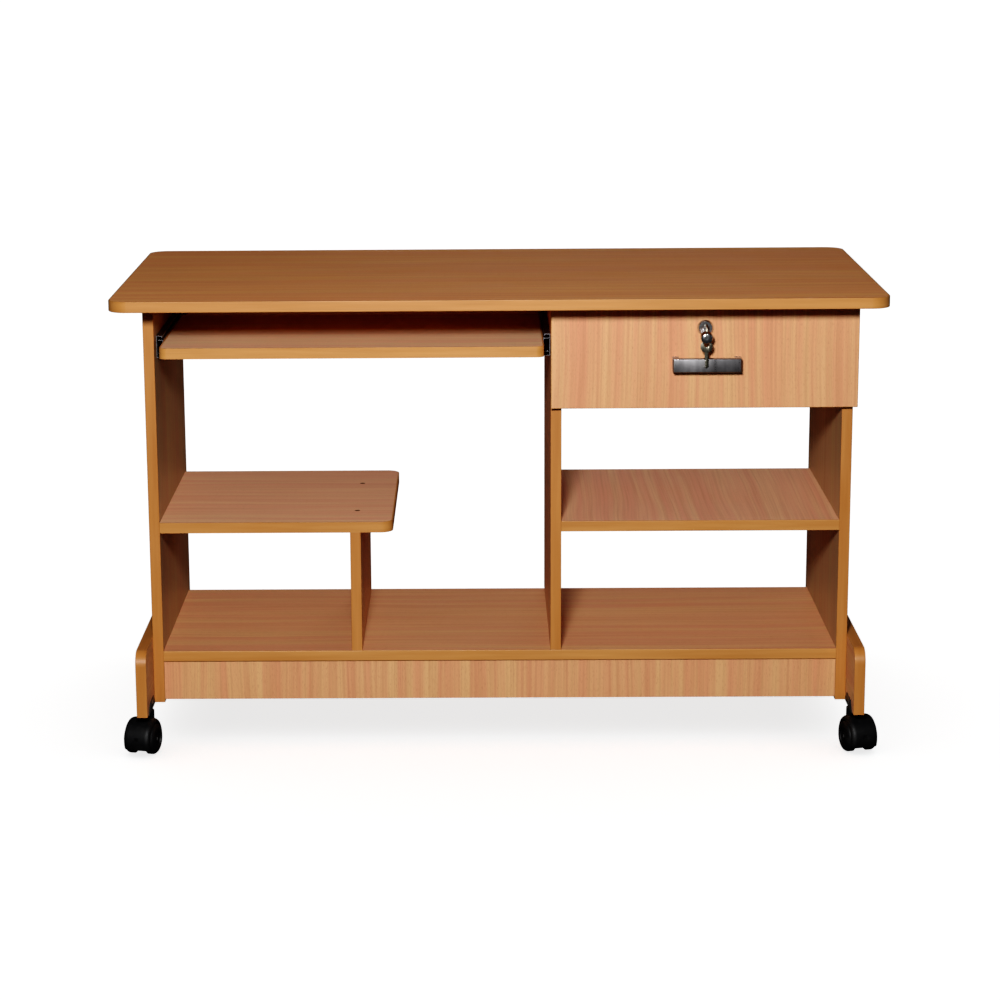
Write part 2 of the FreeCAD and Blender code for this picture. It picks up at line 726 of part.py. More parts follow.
lock_at = ("front_middle", "front_face", "lock_z")
bore = "plug_radius + run_clearance"
lock_body = part(turned("lock_body", [
    (bore, "-barrel_length"), ("barrel_radius", "-barrel_length"), ("barrel_radius", "0"),
    ("bezel_radius", "0"), ("bezel_radius", "bezel_rim"), ("bezel_radius - bezel_rim", "bezel_proud"),
    (bore, "bezel_proud")], lock_at, TOWARDS_FRONT))
lock_space = cylinder("lock_space", "barrel_radius", "barrel_length", lock_at, ALONG_Y)
nut_at = ("front_middle", "carcass_front + drawer_board", "lock_z")
nut_blank = doc.addObject("Part::Prism", "lock_nut_blank")
nut_blank.Polygon = 6
nut_blank.setExpression("Circumradius", formula("nut_radius"))
nut_blank.setExpression("Height", formula("nut_thickness"))
put(nut_blank, nut_at, ALONG_Y)
part(cut("lock_nut", nut_blank, [lock_space]))

plug_front = "front_face - bezel_proud + plug_recess"
plug_core = cylinder("plug_core", "plug_radius", "barrel_length + bezel_proud - plug_recess",
                     ("front_middle", plug_front, "lock_z"), ALONG_Y)
plug_stub = cylinder("plug_stub_pin", "stub_radius", "plug_stub",
                     ("front_middle", "front_face + barrel_length", "lock_z"), ALONG_Y)
slot_half = "(key_sheet / 2 + key_slot_clearance)"
key_tip = "key_bow_y + key_bow_radius + key_blade_length"
key_slot = box("key_slot", (f"front_middle - {slot_half}", f"{plug_front} - overshoot",
                            "lock_z - key_blade_width / 2 - key_slot_clearance"),
               (f"front_middle + {slot_half}", f"{key_tip} + key_slot_clearance",
                "lock_z + key_blade_width / 2 + key_slot_clearance"))
part(cut("lock_plug", joined("plug_solid", [plug_core, plug_stub]), [key_slot]))

cam_at = ("front_middle", "cam_front", "lock_z")
cam_end_x = "front_middle + cam_reach - cam_width / 2"
cam_plate = box("cam_plate", ("front_middle", "cam_front", "lock_z - cam_width / 2"),
                (cam_end_x, "cam_front + cam_sheet", "lock_z + cam_width / 2"))
cam_root = cylinder("cam_root", "cam_width / 2", "cam_sheet", cam_at, ALONG_Y)
cam_end = cylinder("cam_end", "cam_width / 2", "cam_sheet", (cam_end_x, "cam_front", "lock_z"), ALONG_Y)
part(cut("lock_cam", joined("cam_solid", [cam_plate, cam_root, cam_end]), [plug_stub]))

# ---------------------------------------------------------------- keys and their ring


def flat_key(label, at, turn):
    """Flat key: a round bow with an offset hole and a cut blade that points down."""
    half, end = "key_blade_width / 2", "-(key_bow_radius + key_blade_length)"
    shape = [(f"-{half}", "-key_neck"), (half, "-key_neck"), (half, f"{end} + {half}"), ("0", end)]
    for step, depth in KEY_CUTS:
        shape.append((f"-{half}", f"{end} + key_cut_pitch * {step - 1}"))
        shape.append((f"-{half} + {depth}", f"{end} + key_cut_pitch * {step}"))
    shape.append((f"-{half}", f"{end} + key_cut_pitch * {KEY_CUTS[-1][0] + 1}"))
    blade = padded(label + "_blade", "XZ_Plane", shape, "key_sheet", ("0", "key_sheet / 2", "0"))
    bow = cylinder(label + "_bow", "key_bow_radius", "key_sheet", ("0", "-key_sheet / 2", "0"), ALONG_Y)
    hole = cylinder(label + "_hole", "key_hole_radius", "key_sheet + 2 * overshoot",
                    ("0", "-key_sheet / 2 - overshoot", "key_hole_rise"), ALONG_Y)
    return put(cut(label, joined(label + "_solid", [blade, bow]), [hole]), at, turn)


INTO_LOCK = Rotation(Vector(0, 1, 0), Vector(-1, 0, 0), Vector(0, -1, 0), "ZXY")
part(flat_key("key", ("front_middle", "key_bow_y", "lock_z"), INTO_LOCK))
part(flat_key("spare_key", ("front_middle", "ring_y", "spare_bow_z"), UPRIGHT))
ring = part(doc.addObject("Part::Torus", "key_ring"))
ring.setExpression("Radius1", formula("ring_radius"))
ring.setExpression("Radius2", formula("ring_wire"))
put(ring, ("front_middle", "ring_y", "ring_top_z - ring_radius"), Rotation(Vector(0, 0, 1), Vector(-1, 1, 0)))

# ---------------------------------------------------------------- drawer


def handle_bar():
    """Block bar on two feet, its front face bevelled."""
    half = "handle_length / 2"
    corners = [(f"-{half}", "-handle_gap - handle_bar"), (half, "-handle_gap - handle_bar"), (half, "0"),
               (f"{half} - handle_foot", "0"), (f"{half} - handle_foot", "-handle_gap"),
               (f"-{half} + handle_foot", "-handle_gap"), (f"-{half} + handle_foot", "0"), (f"-{half}", "0")]
    body = padded("handle_blank", "XY_Plane", corners, "handle_height",
                  ("handle_middle", "front_face", "handle_z - handle_height / 2"))
    return dressed(body, "Chamfer", "handle_bevel", ("-y",))


handle_reach = "(handle_length - handle_foot) / 2"
handle_spots = [(f"handle_middle {sign} {handle_reach}", "carcass_front + drawer_board", "handle_z")
                for sign in "-+"]
handle_shanks = [cylinder(f"handle_shank_{index}", "handle_screw_radius",
                          "board + drawer_board + handle_gap / 2", spot, TOWARDS_FRONT)
                 for index, spot in enumerate(handle_spots)]
handle_heads = [cylinder(f"handle_head_{index}", "handle_screw_head", "handle_screw_radius", spot, ALONG_Y)
                for index, spot in enumerate(handle_spots)]
handle_screws = part(group("handle_screws", [joined(f"handle_screw_{index}", list(pair))
                                             for index, pair in enumerate(zip(handle_shanks, handle_heads))]))
part(cut("handle", handle_bar(), [handle_screws]))

front_drills = [lock_space] + handle_shanks
front_low = ("front_left", "front_face", "front_bottom")
front_high = ("front_right", "carcass_front", "front_top")
front_core = block("drawer_front_blank",
                   ("front_left + front_band", "front_face", "front_bottom + front_band"),
                   ("front_right - front_band", "carcass_front", "front_top - front_band"))
front_shell = dressed(block("drawer_front_shell", front_low, front_high), "Fillet", "front_round",
                      FRONT_CORNERS + shelf_edges)
part(cut("drawer_front_band", front_shell, [front_core]))
part(cut("drawer_front", front_core, front_drills))
inner_left, inner_right = "box_left + drawer_board", "box_right - drawer_board"
inner_front = block("inner_front_blank", (inner_left, "carcass_front", "box_bottom"),
                    (inner_right, "carcass_front + drawer_board", "box_top"))
part(cut("drawer_inner_front", inner_front, front_drills))
part(block("drawer_back", (inner_left, "box_back - drawer_board", "box_bottom"),
           (inner_right, "box_back", "box_top")))
part(block("drawer_bottom", ("box_left", "carcass_front", "box_bottom - drawer_bottom_sheet"),
           ("box_right", "box_back", "box_bottom")))
side_blank = block("drawer_side_blank", ("box_left", "carcass_front", "box_bottom"),
                   (inner_left, "box_back", "box_top"))
drawer_side = cut("drawer_side_left", side_blank, [drawer_screws])
part(group("drawer_sides", [drawer_side, mirrored("drawer_side_right", drawer_side, "right_bay_middle")]))


# ---------------------------------------------------------------- casters

# Middle of a caster's axle, from the floor under its stem and before the rest turn.
AXLE = ("0", "-caster_trail", "wheel_radius")


def clamp(label, x, y):
    """Low steel clamp over the caster's stem, whose two cheeks hold the foot board."""
    half, top_half = "clamp_length / 2", "(clamp_length / 2 - clamp_height)"
    outside = "board + 2 * clamp_sheet"
    corners = [(f"-{half}", "0"), (half, "0"), (top_half, "clamp_height"), (f"-{top_half}", "clamp_height")]
    solid = padded(label + "_solid", "YZ_Plane", corners, outside,
                   (f"{x} - ({outside}) / 2", y, "clamp_under"))
    room = box(label + "_room", (f"{x} - board / 2", f"{y} - clamp_length", "foot_lift"),
               (f"{x} + board / 2", f"{y} + clamp_length", "foot_lift + 2 * clamp_height"))
    return cut(label, solid, [room, wood_screws])


def dome(rim, hub, start, end):
    """Rounded outline from a rim's radius and height to a hub's, as (radius, height) corners."""
    return [(f"{hub} + ({rim} - {hub}) * cos({turn})", f"{start} + ({end} - {start}) * sin({turn})")
            for turn in DOME_TURNS]


def swivelled(piece, x, y):
    """Place something built about a caster's stem, with the caster's rest turn outwards."""
    outward = Vector(0, 0, 1 if number(x) > 0 else -1)
    put(piece, (x, y, "0"), Rotation(outward, number("caster_turn")))
    piece.setExpression("Placement.Rotation.Angle", formula("caster_turn"))
    return piece


def wheel(label, turn):
    """Domed caster wheel with a recessed hub, bored to turn on the axle."""
    hole = "axle_radius + run_clearance"
    corners = [(hole, "wheel_inner"), ("wheel_radius - band_round", "wheel_inner"),
               ("wheel_radius", "wheel_inner + band_round")]
    corners += dome("wheel_radius", "hub_radius", "wheel_shoulder", "wheel_outer")
    corners += [("hub_radius - band_round", "wheel_outer - hub_recess"), (hole, "wheel_outer - hub_recess")]
    return turned(label, corners, AXLE, turn)


def hood(label):
    """Hood over a pair of wheels: a round-shouldered barrel with a middle disc and a collar."""
    shoulder = dome("hood_radius", "hood_end_radius", "hood_flat", "hood_half")
    far_shoulder = [(u, negated(v)) for u, v in reversed(shoulder)]
    barrel = turned(label + "_barrel", [("0", "-hood_half"), *far_shoulder, *shoulder, ("0", "hood_half")],
                    AXLE, ALONG_X)
    width, reach = "2 * wheel_outer", "2 * (wheel_radius + caster_trail)"
    below = box(label + "_below", (negated(width), negated(reach), "-hood_radius"),
                (width, reach, "hood_open"))
    disc = cylinder(label + "_disc", "disc_radius", "2 * disc_half", ("-disc_half", *AXLE[1:]), ALONG_X)
    collar = cylinder(label + "_collar", "collar_radius", "collar_top - wheel_radius",
                      ("0", "0", "wheel_radius"))
    solid = joined(label + "_solid", [cut(label + "_shell", barrel, [below]), disc, collar])
    rooms = [cylinder(f"{label}_room_{index}", "wheel_radius + wheel_gap", "wheel_outer - disc_half",
                      (start, *AXLE[1:]), ALONG_X)
             for index, start in enumerate(("disc_half", "-wheel_outer"))]
    stem_hole = cylinder(label + "_stem_hole", "stem_radius + run_clearance", "stem_depth + collar_top",
                         ("0", "0", "collar_top - stem_depth"))
    axle_hole = cylinder(label + "_axle_hole", "axle_radius", width, ("-wheel_outer", *AXLE[1:]), ALONG_X)
    slot_front, slot_low = "-caster_trail - hood_radius", "wheel_radius + slot_depth"
    slot = box(label + "_slot", ("-slot_width / 2", f"{slot_front} - slot_depth", slot_low),
               ("slot_width / 2", f"{slot_front} + slot_depth", f"{slot_low} + slot_height"))
    return cut(label, solid, rooms + [stem_hole, axle_hole, slot])


clamps, stems = [], []
for name, x, y in caster_sites():
    clamps.append(clamp(f"{name}_clamp", x, y))
    stems.append(cylinder(f"{name}_stem", "stem_radius", "clamp_under - collar_top + stem_depth",
                          (x, y, "collar_top - stem_depth")))
    part(swivelled(hood(f"{name}_caster_hood"), x, y))
    part(swivelled(group(f"{name}_caster_wheels", [
        wheel(f"{name}_wheel_{index}", turn)
        for index, turn in enumerate((ALONG_X, AGAINST_X))]), x, y))
    axle = cylinder(f"{name}_axle_bar", "axle_radius", "2 * (wheel_outer - hub_recess)",
                    ("hub_recess - wheel_outer", *AXLE[1:]), ALONG_X)
    part(swivelled(group(f"{name}_caster_axle", [axle]), x, y))
part(group("caster_clamps", clamps))
part(group("caster_stems", stems))

# ---------------------------------------------------------------- checks and files

doc.recompute()
failed = [item.Label for item in doc.Objects if {"Invalid", "Error"} & set(item.State)]
if failed:
    raise RuntimeError(f"objects that failed: {failed}")
if len(parts) > MOST_FILES:
    raise RuntimeError(f"{len(parts)} sub-parts")
for piece in parts:
    if piece.Shape.isNull() or not piece.Shape.isValid() or not piece.Shape.Solids:
        raise RuntimeError(f"{piece.Label} has no good solid")
os.makedirs("parts", exist_ok=True)
for piece in parts:
    piece.Shape.exportStep(f"parts/{piece.Label}.step")
print(f"{len(parts)} sub-parts written")
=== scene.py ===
"""Finished look of a computer desk with a keyboard tray, a lockable drawer and four casters.

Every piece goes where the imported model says, in metres and in the desk's own frame: +X is
to the right as seen from the front, -Y is the front and +Z is up.
"""

import json
import logging
import math
from dataclasses import dataclass
from enum import Enum
from typing import Any, Callable, Mapping, Optional, Sequence

import bmesh
import bpy
from bpy.types import Collection, Material, Node, NodeSocket, NodeTree, Object
from mathutils import Matrix, Vector


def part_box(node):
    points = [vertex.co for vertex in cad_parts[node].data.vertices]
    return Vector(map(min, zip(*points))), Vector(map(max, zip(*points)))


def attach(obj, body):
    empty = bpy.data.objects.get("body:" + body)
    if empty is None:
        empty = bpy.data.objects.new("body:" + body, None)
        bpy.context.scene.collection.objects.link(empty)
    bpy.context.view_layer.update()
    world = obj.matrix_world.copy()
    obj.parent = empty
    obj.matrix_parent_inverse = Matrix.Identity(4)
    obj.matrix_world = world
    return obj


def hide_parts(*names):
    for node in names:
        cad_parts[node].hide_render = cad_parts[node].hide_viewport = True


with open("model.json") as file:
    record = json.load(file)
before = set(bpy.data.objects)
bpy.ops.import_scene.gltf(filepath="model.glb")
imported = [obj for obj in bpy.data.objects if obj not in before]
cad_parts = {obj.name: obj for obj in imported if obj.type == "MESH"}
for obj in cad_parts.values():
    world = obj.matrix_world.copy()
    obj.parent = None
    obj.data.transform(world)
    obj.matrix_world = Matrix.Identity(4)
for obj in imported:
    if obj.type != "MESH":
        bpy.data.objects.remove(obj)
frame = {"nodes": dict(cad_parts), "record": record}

MM = 0.001
SMOOTH_BELOW = math.radians(38)
MERGE = 1e-6
ROUNDING_STEPS = 3
PANEL_SCREW_HEAD = 3 * MM
WOOD_SCREW_HEAD = 2 * MM
MIX_FACTOR, MIX_FIRST, MIX_SECOND, MIX_COLOUR = 0, 6, 7, 2
COMBINED_CURVE = 3
Colour = tuple[float, float, float]
Place = tuple[float, float, float]
Outline = list[tuple[float, float]]
log = logging.getLogger("desk")


# ---------------------------------------------------------------- shader wiring

@dataclass
class Wiring:
    """Short way to add and join the nodes of one shader tree."""

    tree: NodeTree

    def node(self, kind: str, inputs: Optional[Mapping[Any, Any]] = None, **settings: Any) -> Node:
        """Add a node.

        Args:
            kind: The node's type name without the "ShaderNode" that starts it.
            inputs: A value or a socket for each input, by its name or its number.
            settings: The node's own properties.

        Returns:
            The node.
        """
        made = self.tree.nodes.new("ShaderNode" + kind)
        for name, value in settings.items():
            setattr(made, name, value)
        for key, value in (inputs or {}).items():
            self.feed(made.inputs[key], value)
        return made

    def feed(self, socket: NodeSocket, value: Any) -> None:
        """Join a socket to another, or give it a plain value.

        Args:
            socket: The input to fill.
            value: A socket, a number, or a colour of three or four numbers.
        """
        if isinstance(value, NodeSocket):
            self.tree.links.new(value, socket)
        elif socket.type == "RGBA" and len(value) == 3:
            socket.default_value = (*value, 1.0)
        else:
            socket.default_value = value

    def maths(self, operation: str, first: Any, second: Any = 0.0, clamp: bool = False) -> NodeSocket:
        """Work out one number from two.

        Args:
            operation: The Math node's operation.
            first: A socket or a number.
            second: A socket or a number.
            clamp: Whether the result is kept from 0 to 1.

        Returns:
            The result's socket.
        """
        made = self.node("Math", {0: first, 1: second}, operation=operation, use_clamp=clamp)
        return made.outputs[0]

    def blend(self, factor: Any, first: Any, second: Any, kind: str = "MIX") -> NodeSocket:
        """Mix two colours.

        Args:
            factor: How much of the second, as a socket or a number.
            first: A colour or its socket.
            second: A colour or its socket.
            kind: The Mix node's blend type.

        Returns:
            The colour's socket.
        """
        made = self.node("Mix", data_type="RGBA", blend_type=kind)
        self.feed(made.inputs[MIX_FACTOR], factor)
        self.feed(made.inputs[MIX_FIRST], first)
        self.feed(made.inputs[MIX_SECOND], second)
        return made.outputs[MIX_COLOUR]

    def spread(self, value: NodeSocket, low: float, high: float, start: float = 0.0,
               end: float = 1.0) -> NodeSocket:
        """Stretch a number's range.

        Args:
            value: The number.
            low: What becomes the start.
            high: What becomes the end.
            start: The new low end.
            end: The new high end.

        Returns:
            The stretched number's socket, kept between the ends.
        """
        names = ("Value", "From Min", "From Max", "To Min", "To Max")
        return self.node("MapRange", dict(zip(names, (value, low, high, start, end)))).outputs[0]

    def noise(self, place: NodeSocket, stretch: Sequence[float], detail: float = 2.0,
              roughness: float = 0.5) -> NodeSocket:
        """Noise with its own scale along each axis.

        Args:
            place: The place to read it at.
            stretch: Waves per metre along each axis.
            detail: Octaves of finer noise on top.
            roughness: How strong those are.

        Returns:
            The noise value's socket, about 0.5 in the middle.
        """
        scaled = self.node("VectorMath", {0: place, 1: tuple(stretch)}, operation="MULTIPLY").outputs[0]
        made = self.node("TexNoise", {"Vector": scaled, "Scale": 1.0, "Detail": detail,
                                      "Roughness": roughness})
        return made.outputs["Fac"]


class Effects:
    """Shader node groups that several finishes share, each built once."""

    made: dict[str, NodeTree] = {}

    @classmethod
    def group(cls, name: str, inputs: Mapping[str, Any], outputs: Mapping[str, str],
              draw: Callable[[Wiring, Node], Mapping[str, NodeSocket]]) -> NodeTree:
        """Build a group, or give back the one that is there.

        Args:
            name: The group's name.
            inputs: Each input's name and its usual value: a number, a colour or a vector.
            outputs: Each output's name and socket type.
            draw: Adds the nodes inside, and returns the socket for each output.

        Returns:
            The group's tree.
        """
        if name in cls.made:
            return cls.made[name]
        tree = bpy.data.node_groups.new(name, "ShaderNodeTree")
        for label, value in inputs.items():
            kind = "NodeSocketFloat"
            if not isinstance(value, float):
                kind = "NodeSocketVector" if len(value) == 3 else "NodeSocketColor"
            tree.interface.new_socket(label, in_out="INPUT", socket_type=kind).default_value = value
        for label, kind in outputs.items():
            tree.interface.new_socket(label, in_out="OUTPUT", socket_type=kind)
        wiring = Wiring(tree)
        start = tree.nodes.new("NodeGroupInput")
        end = tree.nodes.new("NodeGroupOutput")
        for label, socket in draw(wiring, start).items():
            tree.links.new(socket, end.inputs[label])
        cls.made[name] = tree
        return tree

    @classmethod
    def place(cls, wiring: Wiring, tree: NodeTree, **values: Any) -> Node:
        """Put a group in a material.

        Args:
            wiring: The material's wiring.
            tree: The group.
            values: A value or a socket for each input, by its name in lower case.

        Returns:
            The group's node.
        """
        made = wiring.tree.nodes.new("ShaderNodeGroup")
        made.node_tree = tree
        for name, value in values.items():
            wiring.feed(made.inputs[name.capitalize()], value)
        return made

    @classmethod
    def beech(cls) -> NodeTree:
        """Printed beech: soft streaks, growth lines and short flecks along the first axis.

        Returns:
            The group's tree.
        """
        def draw(w: Wiring, start: Node) -> Mapping[str, NodeSocket]:
            """Draw the grain.

            Args:
                w: The group's wiring.
                start: The group's input node.

            Returns:
                The colour and the height.
            """
            at = start.outputs["Place"]
            drift = w.noise(at, (2.2, 6.0, 6.0), 1.0)
            drift = w.maths("MULTIPLY", w.maths("SUBTRACT", drift, 0.5), start.outputs["Flame"])
            split = w.node("SeparateXYZ", {0: at})
            across = w.maths("ADD", split.outputs[1], drift)
            bent = w.node("CombineXYZ", {0: split.outputs[0], 1: across, 2: split.outputs[2]}).outputs[0]
            wide = w.spread(w.noise(bent, (1.4, 62.0, 62.0), 2.0, 0.55), 0.36, 0.66)
            lines = w.spread(w.noise(bent, (3.0, 290.0, 290.0), 2.0, 0.6), 0.42, 0.74)
            hairs = w.spread(w.noise(bent, (9.0, 1150.0, 1150.0), 1.0), 0.35, 0.75)
            flecks = w.spread(w.noise(bent, (170.0, 1400.0, 1400.0), 0.0), 0.66, 0.74)
            colour = w.blend(wide, start.outputs["Pink"], start.outputs["Tan"])
            dark = start.outputs["Dark"]
            for marks, strength in ((lines, start.outputs["Lines"]), (hairs, 0.12), (flecks, 0.38)):
                colour = w.blend(w.maths("MULTIPLY", marks, strength), colour, dark)
            pores = w.maths("MAXIMUM", w.maths("MULTIPLY", hairs, 0.5), flecks)
            return {"Colour": colour, "Height": w.maths("SUBTRACT", 1.0, pores)}
        inputs = {"Place": (0.0, 0.0, 0.0), "Pink": (1.0, 1.0, 1.0, 1.0), "Tan": (1.0, 1.0, 1.0, 1.0),
                  "Dark": (0.0, 0.0, 0.0, 1.0), "Lines": 0.3, "Flame": 0.03}
        outputs = {"Colour": "NodeSocketColor", "Height": "NodeSocketFloat"}
        return cls.group("beech_print", inputs, outputs, draw)

    @classmethod
    def chipboard(cls) -> NodeTree:
        """Sawn edge of chipboard: packed flakes of several tones.

        Returns:
            The group's tree.
        """
        def draw(w: Wiring, start: Node) -> Mapping[str, NodeSocket]:
            """Draw the flakes.

            Args:
                w: The group's wiring.
                start: The group's input node.

            Returns:
                The colour and the height.
            """
            brown, straw, gap = (0.20, 0.105, 0.045), (0.47, 0.31, 0.16), (0.09, 0.045, 0.02)
            flakes_per_metre = 420.0
            flakes = w.node("TexVoronoi", {"Vector": start.outputs["Place"], "Scale": flakes_per_metre})
            tone = w.node("SeparateColor", {0: flakes.outputs["Color"]}).outputs[0]
            gaps = w.spread(flakes.outputs["Distance"], 0.45, 0.8)
            colour = w.blend(gaps, w.blend(tone, brown, straw), gap)
            return {"Colour": colour, "Height": w.maths("SUBTRACT", tone, gaps)}
        return cls.group("chipboard", {"Place": (0.0, 0.0, 0.0)},
                         {"Colour": "NodeSocketColor", "Height": "NodeSocketFloat"}, draw)

    @classmethod
    def edges(cls) -> NodeTree:
        """Where a shape turns sharply: a mask along its edges and a normal that rounds them.

        Returns:
            The group's tree.
        """
        def draw(w: Wiring, start: Node) -> Mapping[str, NodeSocket]:
            """Compare the rounded normal with the plain one.

            Args:
                w: The group's wiring.
                start: The group's input node.

            Returns:
                The mask and the normal.
            """
            soft = w.node("Bevel", {"Radius": start.outputs["Width"]}, samples=4).outputs[0]
            plain = w.node("NewGeometry").outputs["Normal"]
            turn = w.node("VectorMath", {0: soft, 1: plain}, operation="DOT_PRODUCT").outputs["Value"]
            mask = w.spread(turn, 0.995, 0.86)
            patchy = w.spread(w.noise(start.outputs["Place"], (90.0, 90.0, 90.0), 3.0), 0.35, 0.7)
            return {"Mask": w.maths("MULTIPLY", mask, patchy), "Normal": soft}
        return cls.group("edge_wear", {"Place": (0.0, 0.0, 0.0), "Width": 0.001},
                         {"Mask": "NodeSocketFloat", "Normal": "NodeSocketVector"}, draw)

    @classmethod
    def smudges(cls) -> NodeTree:
        """Slow change of gloss from handling, with fine speckle.

        Returns:
            The group's tree.
        """
        def draw(w: Wiring, start: Node) -> Mapping[str, NodeSocket]:
            """Mix slow and fine noise.

            Args:
                w: The group's wiring.
                start: The group's input node.

            Returns:
                The roughness.
            """
            at = start.outputs["Place"]
            slow = w.spread(w.noise(at, (7.0, 7.0, 7.0), 3.0), 0.3, 0.7)
            fine = w.spread(w.noise(at, (650.0, 650.0, 650.0), 1.0), 0.3, 0.7)
            both = w.maths("ADD", w.maths("MULTIPLY", slow, 0.7), w.maths("MULTIPLY", fine, 0.3))
            scaled = w.maths("MULTIPLY", both, start.outputs["Range"])
            return {"Roughness": w.maths("ADD", scaled, start.outputs["Least"])}
        return cls.group("smudges", {"Place": (0.0, 0.0, 0.0), "Least": 0.4, "Range": 0.1},
                         {"Roughness": "NodeSocketFloat"}, draw)


# ---------------------------------------------------------------- finishes

class Lay(Enum):
    """How a board's print lies: the axes along the grain, across it and through the board."""

    FLAT_ALONG_X = (0, 1, 2)
    FLAT_ALONG_Y = (1, 0, 2)
    SIDE_UPRIGHT = (2, 1, 0)
    FRONT_UPRIGHT = (2, 0, 1)
    FRONT_ALONG_X = (0, 2, 1)
    SIDE_ALONG_Y = (1, 2, 0)


class Finish:
    """A finish that makes its material once and gives it to any number of pieces."""

    materials: dict[str, Material] = {}

    def title(self) -> str:
        """Name of the material."""
        raise NotImplementedError

    def draw(self, w: Wiring, shader: Node, place: NodeSocket) -> None:
        """Wire the finish into its shader."""
        raise NotImplementedError

    def material(self) -> Material:
        """Make the material on first use.

        Returns:
            The material.
        """
        name = self.title()
        if name not in Finish.materials:
            made = bpy.data.materials.new(name)
            made.use_nodes = True
            w = Wiring(made.node_tree)
            shader = next(node for node in made.node_tree.nodes if node.type == "BSDF_PRINCIPLED")
            self.draw(w, shader, w.node("TexCoord").outputs["Object"])
            Finish.materials[name] = made
        return Finish.materials[name]

    def dress(self, *pieces: Object) -> None:
        """Give the finish to each piece, in place of what it had.

        Args:
            pieces: The pieces.
        """
        for piece in pieces:
            piece.data.materials.clear()
            piece.data.materials.append(self.material())


@dataclass(frozen=True)
class Laminate(Finish):
    """Beech-print laminate on chipboard, its unbanded edges left raw."""

    lay: Lay
    name: str = "beech"
    pink: Colour = (0.61, 0.274, 0.144)
    tan: Colour = (0.64, 0.36, 0.172)
    dark: Colour = (0.40, 0.155, 0.073)
    lines: float = 0.42
    flame: float = 0.035
    worn: Colour = (0.33, 0.18, 0.09)
    wear: float = 0.35
    gloss: float = 0.42
    sawn_gloss: float = 0.85
    relief: float = 0.22

    def title(self) -> str:
        """Name of the material."""
        return f"{self.name}_{self.lay.name.lower()}"

    def draw(self, w: Wiring, shader: Node, place: NodeSocket) -> None:
        """Wire print, sawn edges, wear and gloss.

        Args:
            w: The material's wiring.
            shader: The surface shader.
            place: Coordinates on the piece.
        """
        along, across, through = self.lay.value
        split = w.node("SeparateXYZ", {0: place}).outputs
        turned = w.node("CombineXYZ", {0: split[along], 1: split[across], 2: split[through]}).outputs[0]
        beech = Effects.place(w, Effects.beech(), place=turned, pink=self.pink, tan=self.tan,
                              dark=self.dark, lines=self.lines, flame=self.flame)
        chips = Effects.place(w, Effects.chipboard(), place=place)
        facing = w.node("SeparateXYZ", {0: w.node("TexCoord").outputs["Normal"]}).outputs[through]
        sawn = w.maths("LESS_THAN", w.maths("ABSOLUTE", facing), 0.5)
        worn = Effects.place(w, Effects.edges(), place=place, width=0.0006)
        colour = w.blend(sawn, beech.outputs["Colour"], chips.outputs["Colour"])
        colour = w.blend(w.maths("MULTIPLY", worn.outputs["Mask"], self.wear), colour, self.worn)
        shine = Effects.place(w, Effects.smudges(), place=place, least=self.gloss, range=0.12)
        height = w.blend(sawn, beech.outputs["Height"], chips.outputs["Height"])
        bump = w.node("Bump", {"Strength": self.relief, "Distance": 0.0002, "Height": height,
                               "Normal": worn.outputs["Normal"]})
        rough = w.maths("MAXIMUM", shine.outputs[0], w.maths("MULTIPLY", sawn, self.sawn_gloss))
        w.feed(shader.inputs["Base Color"], colour)
        w.feed(shader.inputs["Roughness"], rough)
        w.feed(shader.inputs["Normal"], bump.outputs[0])


@dataclass(frozen=True)
class EdgeBand(Finish):
    """Golden plastic edge band with a faint print along it."""

    across: int
    name: str = "edge_band"
    light: Colour = (0.525, 0.245, 0.08)
    deep: Colour = (0.43, 0.18, 0.048)
    print_lines: Colour = (0.38, 0.17, 0.045)
    # Lighter colour along sharp edges: partly wear, partly a painted highlight.
    worn: Colour = (0.72, 0.45, 0.19)

    def title(self) -> str:
        """Name of the material."""
        return f"{self.name}_{'xyz'[self.across]}"

    def draw(self, w: Wiring, shader: Node, place: NodeSocket) -> None:
        """Wire the drifting tone, the faint lines and the lighter edges, which are partly wear and
        partly a painted highlight.

        Args:
            w: The material's wiring.
            shader: The surface shader.
            place: Coordinates on the piece.
        """
        stretch, fine = [4.0, 4.0, 4.0], [14.0, 14.0, 14.0]
        stretch[self.across], fine[self.across] = 70.0, 650.0
        tone = w.spread(w.noise(place, stretch, 3.0, 0.6), 0.3, 0.7)
        lines = w.spread(w.noise(place, fine, 1.0), 0.35, 0.7)
        colour = w.blend(tone, self.light, self.deep)
        colour = w.blend(w.maths("MULTIPLY", lines, 0.16), colour, self.print_lines)
        # Edges turn lighter by the mask: partly wear, partly a painted highlight.
        worn = Effects.place(w, Effects.edges(), place=place, width=0.0005)
        colour = w.blend(w.maths("MULTIPLY", worn.outputs["Mask"], 0.3), colour, self.worn)
        shine = Effects.place(w, Effects.smudges(), place=place, least=0.36, range=0.12)
        bump = w.node("Bump", {"Strength": 0.15, "Distance": 0.0002, "Height": lines,
                               "Normal": worn.outputs["Normal"]})
        w.feed(shader.inputs["Base Color"], colour)
        w.feed(shader.inputs["Roughness"], shine.outputs[0])
        w.feed(shader.inputs["Normal"], bump.outputs[0])


